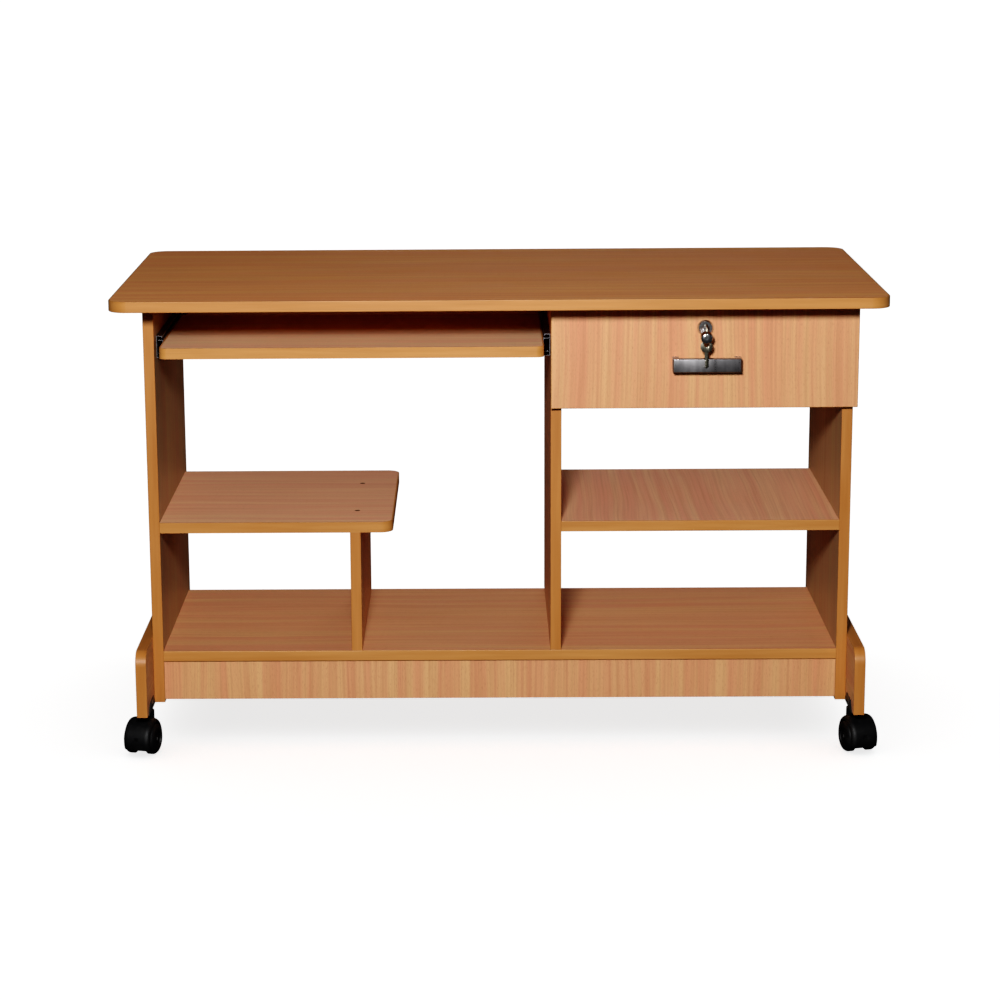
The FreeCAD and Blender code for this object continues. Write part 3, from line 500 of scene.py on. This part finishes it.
@dataclass(frozen=True)
class Metal(Finish):
    """Plated, painted or bare metal, brushed or plain."""

    name: str
    colour: Colour
    worn: Colour
    rough: float
    wear: float = 0.5
    brushed: Optional[tuple[float, float, float]] = None
    metallic: float = 1.0

    def title(self) -> str:
        """Name of the material."""
        return self.name

    def draw(self, w: Wiring, shader: Node, place: NodeSocket) -> None:
        """Wire tarnish, brushing and worn edges.

        Args:
            w: The material's wiring.
            shader: The surface shader.
            place: Coordinates on the piece.
        """
        tarnish = w.spread(w.noise(place, (120.0, 120.0, 120.0), 4.0, 0.6), 0.35, 0.75)
        dull = tuple(0.6 * part for part in self.colour)
        colour = w.blend(w.maths("MULTIPLY", tarnish, 0.45), self.colour, dull)
        marks = w.noise(place, self.brushed or (900.0, 900.0, 900.0), 2.0)
        worn = Effects.place(w, Effects.edges(), place=place, width=0.0005)
        colour = w.blend(w.maths("MULTIPLY", worn.outputs["Mask"], self.wear), colour, self.worn)
        shine = Effects.place(w, Effects.smudges(), place=place, least=self.rough, range=0.14)
        grit = w.maths("MULTIPLY", w.maths("SUBTRACT", marks, 0.5), 0.25 if self.brushed else 0.1)
        relief = 0.25 if self.brushed else 0.12
        bump = w.node("Bump", {"Strength": relief, "Distance": 0.00005, "Height": marks,
                               "Normal": worn.outputs["Normal"]})
        shader.inputs["Metallic"].default_value = self.metallic
        w.feed(shader.inputs["Base Color"], colour)
        w.feed(shader.inputs["Roughness"], w.maths("ADD", shine.outputs[0], grit, clamp=True))
        w.feed(shader.inputs["Normal"], bump.outputs[0])


@dataclass(frozen=True)
class Plastic(Finish):
    """Moulded black plastic with a fine texture, scuffed and a little dusty."""

    name: str = "caster_plastic"
    colour: Colour = (0.008, 0.008, 0.0085)
    scuffed: Colour = (0.045, 0.044, 0.042)
    dusty: Colour = (0.03, 0.028, 0.026)
    rough: float = 0.42
    shine: float = 0.3

    def title(self) -> str:
        """Name of the material."""
        return self.name

    def draw(self, w: Wiring, shader: Node, place: NodeSocket) -> None:
        """Wire the mould texture, the scuffs and the dust.

        Args:
            w: The material's wiring.
            shader: The surface shader.
            place: Coordinates on the piece.
        """
        dust = w.spread(w.noise(place, (60.0, 60.0, 60.0), 4.0, 0.65), 0.48, 0.8)
        worn = Effects.place(w, Effects.edges(), place=place, width=0.0008)
        colour = w.blend(w.maths("MULTIPLY", dust, 0.25), self.colour, self.dusty)
        colour = w.blend(w.maths("MULTIPLY", worn.outputs["Mask"], 0.55), colour, self.scuffed)
        shine = Effects.place(w, Effects.smudges(), place=place, least=self.rough, range=0.16)
        grains = w.noise(place, (1500.0, 1500.0, 1500.0), 1.0)
        bump = w.node("Bump", {"Strength": 0.3, "Distance": 0.00008, "Height": grains,
                               "Normal": worn.outputs["Normal"]})
        rough = w.maths("ADD", shine.outputs[0], w.maths("MULTIPLY", dust, 0.2))
        shader.inputs["Specular IOR Level"].default_value = self.shine
        w.feed(shader.inputs["Base Color"], colour)
        w.feed(shader.inputs["Roughness"], rough)
        w.feed(shader.inputs["Normal"], bump.outputs[0])


ZINC = Metal("zinc_steel", (0.62, 0.62, 0.60), (0.75, 0.74, 0.72), 0.30)
SLIDE = Metal("slide_steel", (0.16, 0.16, 0.17), (0.5, 0.5, 0.5), 0.34)
BALL = Metal("ball_steel", (0.52, 0.51, 0.50), (0.7, 0.7, 0.7), 0.16)
BLACK_STEEL = Metal("black_steel", (0.02, 0.02, 0.021), (0.16, 0.16, 0.16), 0.34, 0.6, None, 0.0)
BRONZED = Metal("bronzed_screw", (0.17, 0.10, 0.055), (0.50, 0.40, 0.27), 0.34)
PEWTER = Metal("handle_metal", (0.37, 0.36, 0.37), (0.78, 0.76, 0.74), 0.26, 0.9, (90.0, 90.0, 12.0))
CHROME = Metal("lock_chrome", (0.66, 0.66, 0.67), (0.9, 0.9, 0.9), 0.14, 0.6)
NICKEL = Metal("key_metal", (0.36, 0.34, 0.27), (0.7, 0.68, 0.6), 0.22, 0.5, (900.0, 900.0, 60.0))
PLASTIC = Plastic()


# ---------------------------------------------------------------- pieces

def as_piece(name: str, solid: bmesh.types.BMesh, finish: Finish, body: str, slot: str,
             *nodes: str) -> Object:
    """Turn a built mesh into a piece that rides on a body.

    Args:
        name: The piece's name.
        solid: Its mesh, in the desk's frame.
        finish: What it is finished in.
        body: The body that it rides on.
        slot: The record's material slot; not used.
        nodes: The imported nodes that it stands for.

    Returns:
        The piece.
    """
    bmesh.ops.recalc_face_normals(solid, faces=solid.faces)
    mesh = bpy.data.meshes.new(name)
    solid.to_mesh(mesh)
    solid.free()
    mesh.shade_smooth()
    mesh.set_sharp_from_angle(angle=SMOOTH_BELOW)
    piece = bpy.data.objects.new(name, mesh)
    bpy.context.scene.collection.objects.link(piece)
    finish.dress(piece)
    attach(piece, body)
    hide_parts(*nodes)
    log.info("%s: %d faces on %s", name, len(mesh.polygons), body)
    return piece


def lathe(solid: bmesh.types.BMesh, profile: Sequence[tuple[float, float]], turn: Matrix,
          steps: int = 48, start: float = 0.0, sweep: float = 2 * math.pi) -> None:
    """Turn a closed outline about an axis, all the way or part of it.

    Args:
        solid: The mesh to add to.
        profile: Corners of the outline as (radius, height), in metres.
        turn: Places the axis: its Z is the axis of turning.
        steps: How many faces go round.
        start: Angle at which the turning starts, in radians.
        sweep: How far it goes; a part turn is closed with a flat face at each end.
    """
    whole = sweep >= 2 * math.pi
    rings = []
    for index in range(steps if whole else steps + 1):
        angle = start + sweep * index / steps
        across = Vector((math.cos(angle), math.sin(angle), 0))
        rings.append([solid.verts.new(turn @ (across * radius + Vector((0, 0, height))))
                      for radius, height in profile])
    for index in range(steps):
        ring, following = rings[index], rings[(index + 1) % len(rings)]
        for corner in range(len(profile)):
            beyond = (corner + 1) % len(profile)
            solid.faces.new((ring[corner], ring[beyond], following[beyond], following[corner]))
    if not whole:
        solid.faces.new(rings[0])
        solid.faces.new(rings[-1])
    bmesh.ops.remove_doubles(solid, verts=solid.verts, dist=MERGE)
    bmesh.ops.dissolve_degenerate(solid, edges=solid.edges, dist=MERGE)


def dome(rim: tuple[float, float], hub: tuple[float, float], steps: int = 8) -> Outline:
    """Quarter of an oval from a rim to a hub.

    Args:
        rim: Radius and height where it runs straight along.
        hub: Radius and height where it runs straight in.
        steps: How many lines it is drawn with.

    Returns:
        The corners as (radius, height).
    """
    turns = [math.pi / 2 * index / steps for index in range(steps + 1)]
    return [(hub[0] + (rim[0] - hub[0]) * math.cos(turn), rim[1] + (hub[1] - rim[1]) * math.sin(turn))
            for turn in turns]


def block(solid: bmesh.types.BMesh, size: Sequence[float], turn: Matrix, taper: float = 1.0) -> None:
    """Add a block, its lower end narrower than its upper one.

    Args:
        solid: The mesh to add to.
        size: Its size along its own axes.
        turn: Places its middle.
        taper: Width of the lower end as a share of the upper one.
    """
    corners = []
    for up, share in ((-0.5, taper), (0.5, 1.0)):
        for x, y in ((-0.5, -0.5), (0.5, -0.5), (0.5, 0.5), (-0.5, 0.5)):
            corner = Vector((x * share * size[0], y * share * size[1], up * size[2]))
            corners.append(solid.verts.new(turn @ corner))
    for face in ((3, 2, 1, 0), (4, 5, 6, 7), (0, 1, 5, 4), (1, 2, 6, 5), (2, 3, 7, 6), (3, 0, 4, 7)):
        solid.faces.new([corners[index] for index in face])


def carve(base: bmesh.types.BMesh, tool: bmesh.types.BMesh) -> bmesh.types.BMesh:
    """Take one closed mesh out of another.

    Args:
        base: The mesh to cut; it is used up.
        tool: What cuts it; it is used up.

    Returns:
        The cut mesh.
    """
    objects = []
    for name, solid in (("carve_base", base), ("carve_tool", tool)):
        bmesh.ops.recalc_face_normals(solid, faces=solid.faces)
        mesh = bpy.data.meshes.new(name)
        solid.to_mesh(mesh)
        solid.free()
        objects.append(bpy.data.objects.new(name, mesh))
        bpy.context.scene.collection.objects.link(objects[-1])
    cutting = objects[0].modifiers.new("carve", "BOOLEAN")
    cutting.operation, cutting.solver, cutting.object = "DIFFERENCE", "EXACT", objects[1]
    depsgraph = bpy.context.evaluated_depsgraph_get()
    mesh = bpy.data.meshes.new_from_object(objects[0].evaluated_get(depsgraph))
    cut = bmesh.new()
    cut.from_mesh(mesh)
    bpy.data.meshes.remove(mesh)
    for item in objects:
        bpy.data.meshes.remove(item.data)
    return cut


def softened(name: str, width: float, finish: Finish, body: str, slot: str) -> None:
    """Stand a copy of a node with rounded edges in for it.

    Args:
        name: The node.
        width: How far the rounding reaches from each sharp edge.
        finish: What the piece is finished in.
        body: The body that it rides on.
        slot: The record's material slot, handed on to as_piece.
    """
    solid = bmesh.new()
    solid.from_mesh(frame["nodes"][name].data)
    bmesh.ops.remove_doubles(solid, verts=solid.verts, dist=MERGE)
    bmesh.ops.dissolve_limit(solid, angle_limit=math.radians(1), verts=solid.verts, edges=solid.edges)
    sharp = [edge for edge in solid.edges if len(edge.link_faces) == 2
             and edge.calc_face_angle() > SMOOTH_BELOW]
    bmesh.ops.bevel(solid, geom=sharp, offset=width, segments=ROUNDING_STEPS, profile=0.5,
                    affect="EDGES", clamp_overlap=True)
    as_piece(f"{name}_drawn", solid, finish, body, slot, name)


def joint(name: str) -> Mapping[str, Any]:
    """The record's joint of that name."""
    return next(row for row in frame["record"]["behaviour"]["joints"] if row["name"] == name)


def dress_nodes(finish: Finish, *names: str) -> None:
    """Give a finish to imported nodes.

    Args:
        finish: The finish.
        names: The nodes.
    """
    for name in names:
        finish.dress(frame["nodes"][name])
        log.info("%s: finished as %s", name, finish.title())


@dataclass
class Screws:
    """Countersunk screws with a cross recess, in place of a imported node's plain ones."""

    node: str
    body: str
    finish: Finish
    slot: str
    head_height: float
    chamfer: float = 0.25 * MM
    recess: float = 1.1
    blade: float = 0.34
    depth: float = 1.2
    taper: float = 0.55
    shank_from: float = 0.95
    shank_to: float = 0.8
    steps: int = 24
    spin: float = 0.9

    def spots(self) -> list[tuple[Matrix, float, float, float]]:
        """Find each screw in the node.

        Returns:
            Its place, with Z out of the head, then its head's and shank's radius and its length.
        """
        solid = bmesh.new()
        solid.from_mesh(frame["nodes"][self.node].data)
        bmesh.ops.remove_doubles(solid, verts=solid.verts, dist=MERGE)
        left, found = set(solid.verts), []
        while left:
            island, edge = set(), {left.pop()}
            while edge:
                island |= edge
                edge = {other.other_vert(vert) for vert in edge for other in vert.link_edges} - island
            left -= island
            found.append(self.measure([vert.co.copy() for vert in island]))
        solid.free()
        return found

    def measure(self, points: Sequence[Vector]) -> tuple[Matrix, float, float, float]:
        """Measure one screw.

        Args:
            points: Its corners.

        Returns:
            As for spots.
        """
        low = Vector([min(point[axis] for point in points) for axis in range(3)])
        high = Vector([max(point[axis] for point in points) for axis in range(3)])
        span = high - low
        axis = max(range(3), key=lambda index: span[index])
        middle = (low + high) / 2

        def aside(point: Vector) -> float:
            """Measure how far a point is from the screw's axis.

            Args:
                point: The point.

            Returns:
                The distance.
            """
            away = point - middle
            away[axis] = 0.0
            return away.length

        def reach(end: float) -> float:
            """Radius at one end."""
            return max(aside(point) for point in points if abs(point[axis] - end) < self.chamfer)
        outward = Vector((0, 0, 0))
        outward[axis] = 1.0 if reach(high[axis]) > reach(low[axis]) else -1.0
        head = middle.copy()
        head[axis] = high[axis] if outward[axis] > 0 else low[axis]
        shank = min(aside(point) for point in points
                    if self.head_height * self.shank_from < abs(point[axis] - head[axis])
                    < span[axis] * self.shank_to)
        place = Matrix.Translation(head) @ outward.to_track_quat("Z", "Y").to_matrix().to_4x4()
        return place, max(reach(high[axis]), reach(low[axis])), shank, span[axis]

    def build(self) -> None:
        """Draw one screw and set it in every place."""
        spots = self.spots()
        _, head, shank, length = spots[0]
        screw = bmesh.new()
        lathe(screw, [(0.0, 0.0), (head - self.chamfer, 0.0), (head, -self.chamfer),
                      (shank, -self.head_height), (shank, shank - length), (0.0, -length)],
              Matrix(), self.steps)
        long, wide, deep = self.recess * head, self.blade * head, self.depth * self.head_height
        for size in ((long, wide, deep), (wide, long, deep)):
            wing = bmesh.new()
            block(wing, size, Matrix(), self.taper)
            screw = carve(screw, wing)
        master = bpy.data.meshes.new("screw")
        screw.to_mesh(master)
        screw.free()
        every = bmesh.new()
        for index, (place, *_) in enumerate(spots):
            known = len(every.verts)
            every.from_mesh(master)
            every.verts.ensure_lookup_table()
            turn = Matrix.Rotation(self.spin * index, 4, "Z")
            bmesh.ops.transform(every, matrix=place @ turn, verts=every.verts[known:])
        bpy.data.meshes.remove(master)
        as_piece(f"{self.node}_drawn", every, self.finish, self.body, self.slot, self.node)


@dataclass
class Carcass:
    """Boards of the desk that stand still, with their bands and fittings."""

    def build(self) -> None:
        """Finish every fixed board, band and fitting."""
        # The top, the shelves and the bottom shelf get brighter copies of the one beech print, retoned
        # for how the light falls on each: painted light.
        top = ((0.84, 0.34, 0.143), (0.88, 0.43, 0.161), (0.55, 0.19, 0.073))
        shelf = ((0.755, 0.37, 0.24), (0.79, 0.47, 0.28), (0.49, 0.216, 0.125))
        foot = ((0.66, 0.304, 0.17), (0.69, 0.388, 0.19), (0.43, 0.174, 0.087))
        # The side panels get a darker copy of the beech print: painted shade for their inner faces,
        # which darkens their outer faces too.
        side = ((0.42, 0.228, 0.125), (0.435, 0.288, 0.143), (0.28, 0.136, 0.069))
        dress_nodes(Laminate(Lay.FLAT_ALONG_X, "top_beech", *top), "top_panel")
        dress_nodes(Laminate(Lay.FLAT_ALONG_X, "shelf_beech", *shelf), "left_shelf")
        dress_nodes(Laminate(Lay.FLAT_ALONG_Y, "shelf_beech", *shelf), "right_shelf")
        dress_nodes(Laminate(Lay.FLAT_ALONG_X, "bottom_beech", *foot), "bottom_shelf")
        dress_nodes(Laminate(Lay.SIDE_UPRIGHT, "side_beech", *side),
                    "left_side_panel", "right_side_panel")
        dress_nodes(Laminate(Lay.SIDE_UPRIGHT), "centre_divider", "short_divider")
        dress_nodes(Laminate(Lay.FRONT_UPRIGHT), "front_plinth", "back_plinth")
        dress_nodes(Laminate(Lay.FRONT_ALONG_X), "left_rear_rail", "right_rear_rail")
        dress_nodes(Laminate(Lay.SIDE_ALONG_Y), "left_foot_board", "right_foot_board")
        dress_nodes(EdgeBand(2), "top_edge_band", "shelf_edge_bands")
        # The side, foot and divider bands get a darker copy of the band colour: painted shade for light
        # that falls off towards the sides.
        dress_nodes(EdgeBand(0, "upright_band_painted_shade", (0.484, 0.206, 0.061), (0.396, 0.151, 0.036)),
                    "upright_edge_bands", "foot_edge_bands")
        Screws("panel_screws", "desk", BRONZED, "bronzed_screw", PANEL_SCREW_HEAD).build()
        Screws("wood_screws", "desk", ZINC, "zinc_steel", WOOD_SCREW_HEAD).build()
        dress_nodes(ZINC, "top_brackets")
        dress_nodes(SLIDE, "tray_slide_outers", "drawer_slide_outers")
        dress_nodes(BLACK_STEEL, "caster_clamps")
        dress_nodes(ZINC, "caster_stems")


@dataclass
class KeyboardTray:
    """Sliding tray with its slides."""

    def build(self) -> None:
        """Finish the tray, its band and its slide members."""
        # The tray gets a much brighter copy of the beech print: painted light on its top.
        beech = ((0.86, 0.55, 0.37), (0.88, 0.68, 0.42), (0.58, 0.34, 0.2))
        band = ((0.55, 0.27, 0.091), (0.45, 0.196, 0.054))
        dress_nodes(Laminate(Lay.FLAT_ALONG_X, "tray_beech", *beech), "tray_panel")
        dress_nodes(EdgeBand(2, "tray_band", *band), "tray_edge_band")
        Screws("tray_screws", "tray", ZINC, "zinc_steel", WOOD_SCREW_HEAD).build()
        dress_nodes(SLIDE, "tray_slide_inners")
        dress_nodes(BALL, "tray_ball_cages")


@dataclass
class Drawer:
    """Drawer box, its front, handle, lock and slides."""

    handle_round: float = 1.0 * MM
    key_round: float = 0.3 * MM
    ring_steps: int = 64
    ring_sides: int = 12
    step_over: float = 0.08

    def split_ring(self) -> None:
        """Coil the key ring's flattened wire twice round, with a step from one turn to the other."""
        low, high = (Vector(corner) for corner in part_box("key_ring"))
        span, middle = high - low, (low + high) / 2
        half = min(span) / 2
        radius = max(span) / 2 - half
        solid = bmesh.new()
        rings = []
        for index in range(2 * self.ring_steps + 1):
            turns = index / self.ring_steps
            share = min(max((turns - 1 + self.step_over) / (2 * self.step_over), 0.0), 1.0)
            aside = half * (share * share * (3 - 2 * share) - 0.5)
            outward = Vector((math.sin(2 * math.pi * turns), 0, math.cos(2 * math.pi * turns)))
            ring = []
            for side in range(self.ring_sides):
                angle = 2 * math.pi * side / self.ring_sides
                along = aside + half / 2 * math.sin(angle)
                ring.append(solid.verts.new(middle + outward * (radius + half * math.cos(angle))
                                            + Vector((0, along, 0))))
            rings.append(ring)
        for ring, following in zip(rings, rings[1:]):
            for side in range(self.ring_sides):
                beyond = (side + 1) % self.ring_sides
                solid.faces.new((ring[side], ring[beyond], following[beyond], following[side]))
        solid.faces.new(rings[0])
        solid.faces.new(rings[-1])
        as_piece("key_ring_drawn", solid, CHROME, "hanging_ring", "lock_chrome", "key_ring")

    def build(self) -> None:
        """Finish the drawer's boards and fittings."""
        dress_nodes(Laminate(Lay.FRONT_UPRIGHT), "drawer_front", "drawer_inner_front", "drawer_back")
        dress_nodes(Laminate(Lay.SIDE_ALONG_Y), "drawer_sides")
        dress_nodes(Laminate(Lay.FLAT_ALONG_Y), "drawer_bottom")
        dress_nodes(EdgeBand(1), "drawer_front_band")
        Screws("drawer_screws", "drawer", ZINC, "zinc_steel", WOOD_SCREW_HEAD).build()
        dress_nodes(SLIDE, "drawer_slide_inners")
        dress_nodes(ZINC, "handle_screws", "lock_nut", "lock_cam")
        dress_nodes(BALL, "drawer_ball_cages")
        softened("handle", self.handle_round, PEWTER, "drawer", "handle_metal")
        dress_nodes(CHROME, "lock_body", "lock_plug")
        softened("key", self.key_round, NICKEL, "lock_cylinder", "key_metal")
        softened("spare_key", self.key_round, NICKEL, "hanging_key", "key_metal")
        self.split_ring()


@dataclass
class Casters:
    """Four hooded twin-wheel casters."""

    wheel_radius: float = 25 * MM
    wheel_inner: float = 11 * MM
    wheel_shoulder: float = 18 * MM
    wheel_outer: float = 26 * MM
    hub_radius: float = 13 * MM
    hub_groove: float = 2.2 * MM
    hub_recess: float = 2.5 * MM
    bore: float = 3.06 * MM
    hood_radius: float = 33 * MM
    hood_end_radius: float = 28 * MM
    hood_flat: float = 13 * MM
    hood_half: float = 22 * MM
    hood_room: float = 26 * MM
    hood_open: float = 13 * MM
    disc_radius: float = 21.5 * MM
    disc_half: float = 10.2 * MM
    collar_radius: float = 12.5 * MM
    stem_room: float = 4.96 * MM
    collar_levels: tuple[float, float, float] = (18 * MM, 22 * MM, 38 * MM)
    slot: tuple[float, float, float] = (7 * MM, 6 * MM, 2 * MM)
    round: float = 0.6 * MM
    tread_steps: int = 10
    wheel_steps: int = 64
    hood_steps: int = 56
    collar_steps: int = 40

    def wheels(self, name: str, axle: Matrix) -> None:
        """Turn the two wheels of a caster.

        Args:
            name: The caster's name.
            axle: The middle of its axle, Z along it.
        """
        solid = bmesh.new()
        groove = self.hub_radius + self.hub_groove
        dish = self.wheel_outer - self.hub_recess
        outline = [(self.bore, self.wheel_inner), (self.wheel_radius - self.round, self.wheel_inner),
                   (self.wheel_radius, self.wheel_inner + self.round)]
        outline += dome((self.wheel_radius, self.wheel_shoulder), (groove, self.wheel_outer),
                        self.tread_steps)
        outline += [(groove - self.round, self.wheel_outer - self.round),
                    (self.hub_radius, self.wheel_outer), (self.hub_radius - self.round, dish),
                    (2 * self.bore, dish), (2 * self.bore - self.round, dish + self.round),
                    (self.bore, dish + self.round)]
        lathe(solid, outline, axle, self.wheel_steps)
        lathe(solid, outline, axle @ Matrix.Rotation(math.pi, 4, "X"), self.wheel_steps)
        as_piece(f"{name}_wheels_drawn", solid, PLASTIC, name.replace("_caster", "_wheels"),
                 "caster_plastic", f"{name}_wheels")

    def hood(self, name: str, axle: Matrix, stem: Vector) -> None:
        """Form the hood, its middle disc and the collar round the stem.

        Args:
            name: The caster's name.
            axle: The middle of its axle, Z along it and Y up.
            stem: Top of the collar, in the middle.
        """
        shoulder = dome((self.hood_radius, self.hood_flat),
                        (self.hood_end_radius, self.hood_half - self.round))
        end = [(self.hood_end_radius - self.round, self.hood_half), (self.hood_room, self.hood_half),
               (self.hood_room, self.disc_half)]
        half = shoulder + end
        outline = half + [(u, -v) for u, v in reversed(half)]
        drop = math.asin((self.wheel_radius - self.hood_open) / self.hood_radius)
        shell = bmesh.new()
        lathe(shell, outline, axle, self.hood_steps, -drop, math.pi + 2 * drop)
        wide, tall, deep = self.slot
        cutter = bmesh.new()
        front = axle @ Matrix.Translation((-self.hood_radius, deep + tall / 2, 0))
        block(cutter, (2 * deep, tall, wide), front)
        solid = carve(shell, cutter)
        rim, face = self.disc_radius - self.round, self.disc_half - self.round
        disc = [(self.bore, -self.disc_half), (rim, -self.disc_half), (self.disc_radius, -face),
                (self.disc_radius, face), (rim, self.disc_half), (self.bore, self.disc_half)]
        lathe(solid, disc, axle, self.hood_steps)
        into_shell = self.hood_room + self.round
        web = [(rim, -self.disc_half), (into_shell, -self.disc_half),
               (into_shell, self.disc_half), (rim, self.disc_half)]
        lathe(solid, web, axle, self.hood_steps, -drop, math.pi + 2 * drop)
        wide_end, narrow, foot = self.collar_levels
        collar = [(self.stem_room, 0.0), (self.collar_radius - self.round, 0.0),
                  (self.collar_radius, -self.round), (self.collar_radius, -wide_end),
                  (self.disc_half, -narrow), (self.disc_half, -foot), (self.stem_room, -foot)]
        lathe(solid, collar, Matrix.Translation(stem), self.collar_steps)
        as_piece(f"{name}_hood_drawn", solid, PLASTIC, name, "caster_plastic", f"{name}_hood")

    def build(self) -> None:
        """Draw and finish the casters."""
        for end in ("front", "rear"):
            for side in ("left", "right"):
                name = f"{end}_{side}_caster"
                roll, swivel = joint(f"{end}_{side}_roll"), joint(f"{end}_{side}_swivel")
                along, up = Vector(roll["axis"]), Vector((0, 0, 1))
                turn = Matrix((up.cross(along), up, along)).transposed().to_4x4()
                axle = Matrix.Translation(roll["pos_m"]) @ turn
                self.wheels(name, axle)
                self.hood(name, axle, Vector(swivel["pos_m"]))
                dress_nodes(ZINC, f"{name}_axle")


# ---------------------------------------------------------------- studio

@dataclass(frozen=True)
class Lamp:
    """A soft box: where it hangs, what it faces, how wide it is and how strong."""

    name: str
    place: Place
    target: Place
    width: float
    power: float
    mirrored: bool = True

    def hang(self, apart: Collection) -> None:
        """Add the lamp.

        Args:
            apart: Collection that holds what it doesn't light.
        """
        light = bpy.data.lights.new(self.name, "AREA")
        light.shape = "DISK"
        light.size = self.width
        light.energy = self.power
        lamp = bpy.data.objects.new(self.name, light)
        bpy.context.scene.collection.objects.link(lamp)
        lamp.location = self.place
        ahead = Vector(self.target) - Vector(self.place)
        lamp.rotation_euler = ahead.to_track_quat("-Z", "Y").to_euler()
        lamp.visible_glossy = self.mirrored
        lamp.light_linking.receiver_collection = apart


@dataclass
class Studio:
    """Pale floor, soft light and the camera."""

    camera_place: Place = (-0.0311, -4.3796, 1.3418)
    pitch: float = 12.734
    yaw: float = 0.637
    roll: float = -0.429
    lens: float = 97.135
    shift: float = 0.05
    sensor: float = 36.0
    floor_reach: float = 40.0
    floor_grey: float = 0.9
    floor_glow: float = 0.76
    floor_sun: float = 0.9
    sun_width: float = 120.0
    room: float = 0.045
    contrast: tuple[tuple[float, float], ...] = ((0.01, 0.0014), (0.035, 0.0133), (0.07, 0.0433),
                                                 (0.14, 0.1226), (0.27, 0.2824), (0.65, 0.68))
    lamps: tuple[Lamp, ...] = (
        Lamp("key_light", (-0.2, -3.0, 1.6), (0.1, -0.2, 0.4), 0.35, 98.0),
        Lamp("rear_light", (0.3, 3.2, 1.5), (0.0, 0.2, 0.4), 1.6, 28.0, False),
        Lamp("left_light", (-3.2, -0.6, 1.6), (0.0, 0.0, 0.4), 1.4, 4.2),
        Lamp("right_light", (3.2, -0.6, 1.6), (0.0, 0.0, 0.4), 1.4, 4.5),
    )

    def camera(self) -> None:
        """Stand the camera in front of the desk, looking a little down."""
        yaw, pitch, roll = (math.radians(angle) for angle in (self.yaw, self.pitch, self.roll))
        right = Vector((math.cos(yaw), math.sin(yaw), 0))
        level = math.cos(pitch)
        ahead = Vector((-math.sin(yaw) * level, math.cos(yaw) * level, -math.sin(pitch)))
        up = right.cross(ahead)
        across = math.cos(roll) * right + math.sin(roll) * up
        upward = math.cos(roll) * up - math.sin(roll) * right
        data = bpy.data.cameras.new("camera")
        data.lens, data.sensor_width, data.shift_x = self.lens, self.sensor, self.shift
        camera = bpy.data.objects.new("camera", data)
        bpy.context.scene.collection.objects.link(camera)
        turn = Matrix((across, upward, -ahead)).transposed().to_4x4()
        camera.matrix_world = Matrix.Translation(self.camera_place) @ turn
        bpy.context.scene.camera = camera

    def floor(self) -> Object:
        """Lay the pale floor.

        Returns:
            The floor.
        """
        mesh = bpy.data.meshes.new("floor")
        half = self.floor_reach
        corners = [(-half, -half, 0), (half, -half, 0), (half, half, 0), (-half, half, 0)]
        mesh.from_pydata(corners, [], [tuple(range(len(corners)))])
        floor = bpy.data.objects.new("floor", mesh)
        bpy.context.scene.collection.objects.link(floor)
        made = bpy.data.materials.new("floor_paint")
        made.use_nodes = True
        shader = made.node_tree.nodes["Principled BSDF"]
        shader.inputs["Base Color"].default_value = (*[self.floor_grey] * 3, 1)
        shader.inputs["Roughness"].default_value = 0.9
        shader.inputs["Specular IOR Level"].default_value = 0.0
        shader.inputs["Emission Color"].default_value = (1, 1, 1, 1)
        shader.inputs["Emission Strength"].default_value = self.floor_glow
        mesh.materials.append(made)
        floor.visible_diffuse = False
        floor.visible_glossy = False
        return floor

    def world(self) -> None:
        """Pale backdrop for the eye, and a dim room for the light."""
        world = bpy.data.worlds.new("room")
        bpy.context.scene.world = world
        world.use_nodes = True
        w = Wiring(world.node_tree)
        backdrop = world.node_tree.nodes["Background"]
        seen = w.node("LightPath").outputs["Is Camera Ray"]
        w.feed(backdrop.inputs["Color"], (1.0, 1.0, 1.0))
        w.feed(backdrop.inputs["Strength"], w.spread(seen, 0.0, 1.0, self.room, 1.0))

    def build(self) -> None:
        """Set up the whole studio."""
        self.camera()
        floor = self.floor()
        self.world()
        apart = bpy.data.collections.new("lit_apart")
        apart.objects.link(floor)
        apart.collection_objects[0].light_linking.link_state = "EXCLUDE"
        alone = bpy.data.collections.new("floor_only")
        alone.objects.link(floor)
        for lamp in self.lamps:
            lamp.hang(apart)
        sky = bpy.data.lights.new("floor_light", "SUN")
        sky.energy = self.floor_sun
        sky.angle = math.radians(self.sun_width)
        sun = bpy.data.objects.new("floor_light", sky)
        bpy.context.scene.collection.objects.link(sun)
        sun.light_linking.receiver_collection = alone
        view = bpy.context.scene.view_settings
        view.view_transform = "Standard"
        view.use_curve_mapping = True
        for dim, shown in self.contrast:
            view.curve_mapping.curves[COMBINED_CURVE].points.new(dim, shown)
        view.curve_mapping.update()


def main() -> None:
    """Build the desk's finished pieces and the studio."""
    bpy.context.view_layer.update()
    for assembly in (Carcass(), KeyboardTray(), Drawer(), Casters(), Studio()):
        assembly.build()


if __name__ == "__main__":
    logging.basicConfig(level=logging.INFO, format="%(name)s: %(message)s")
    main()
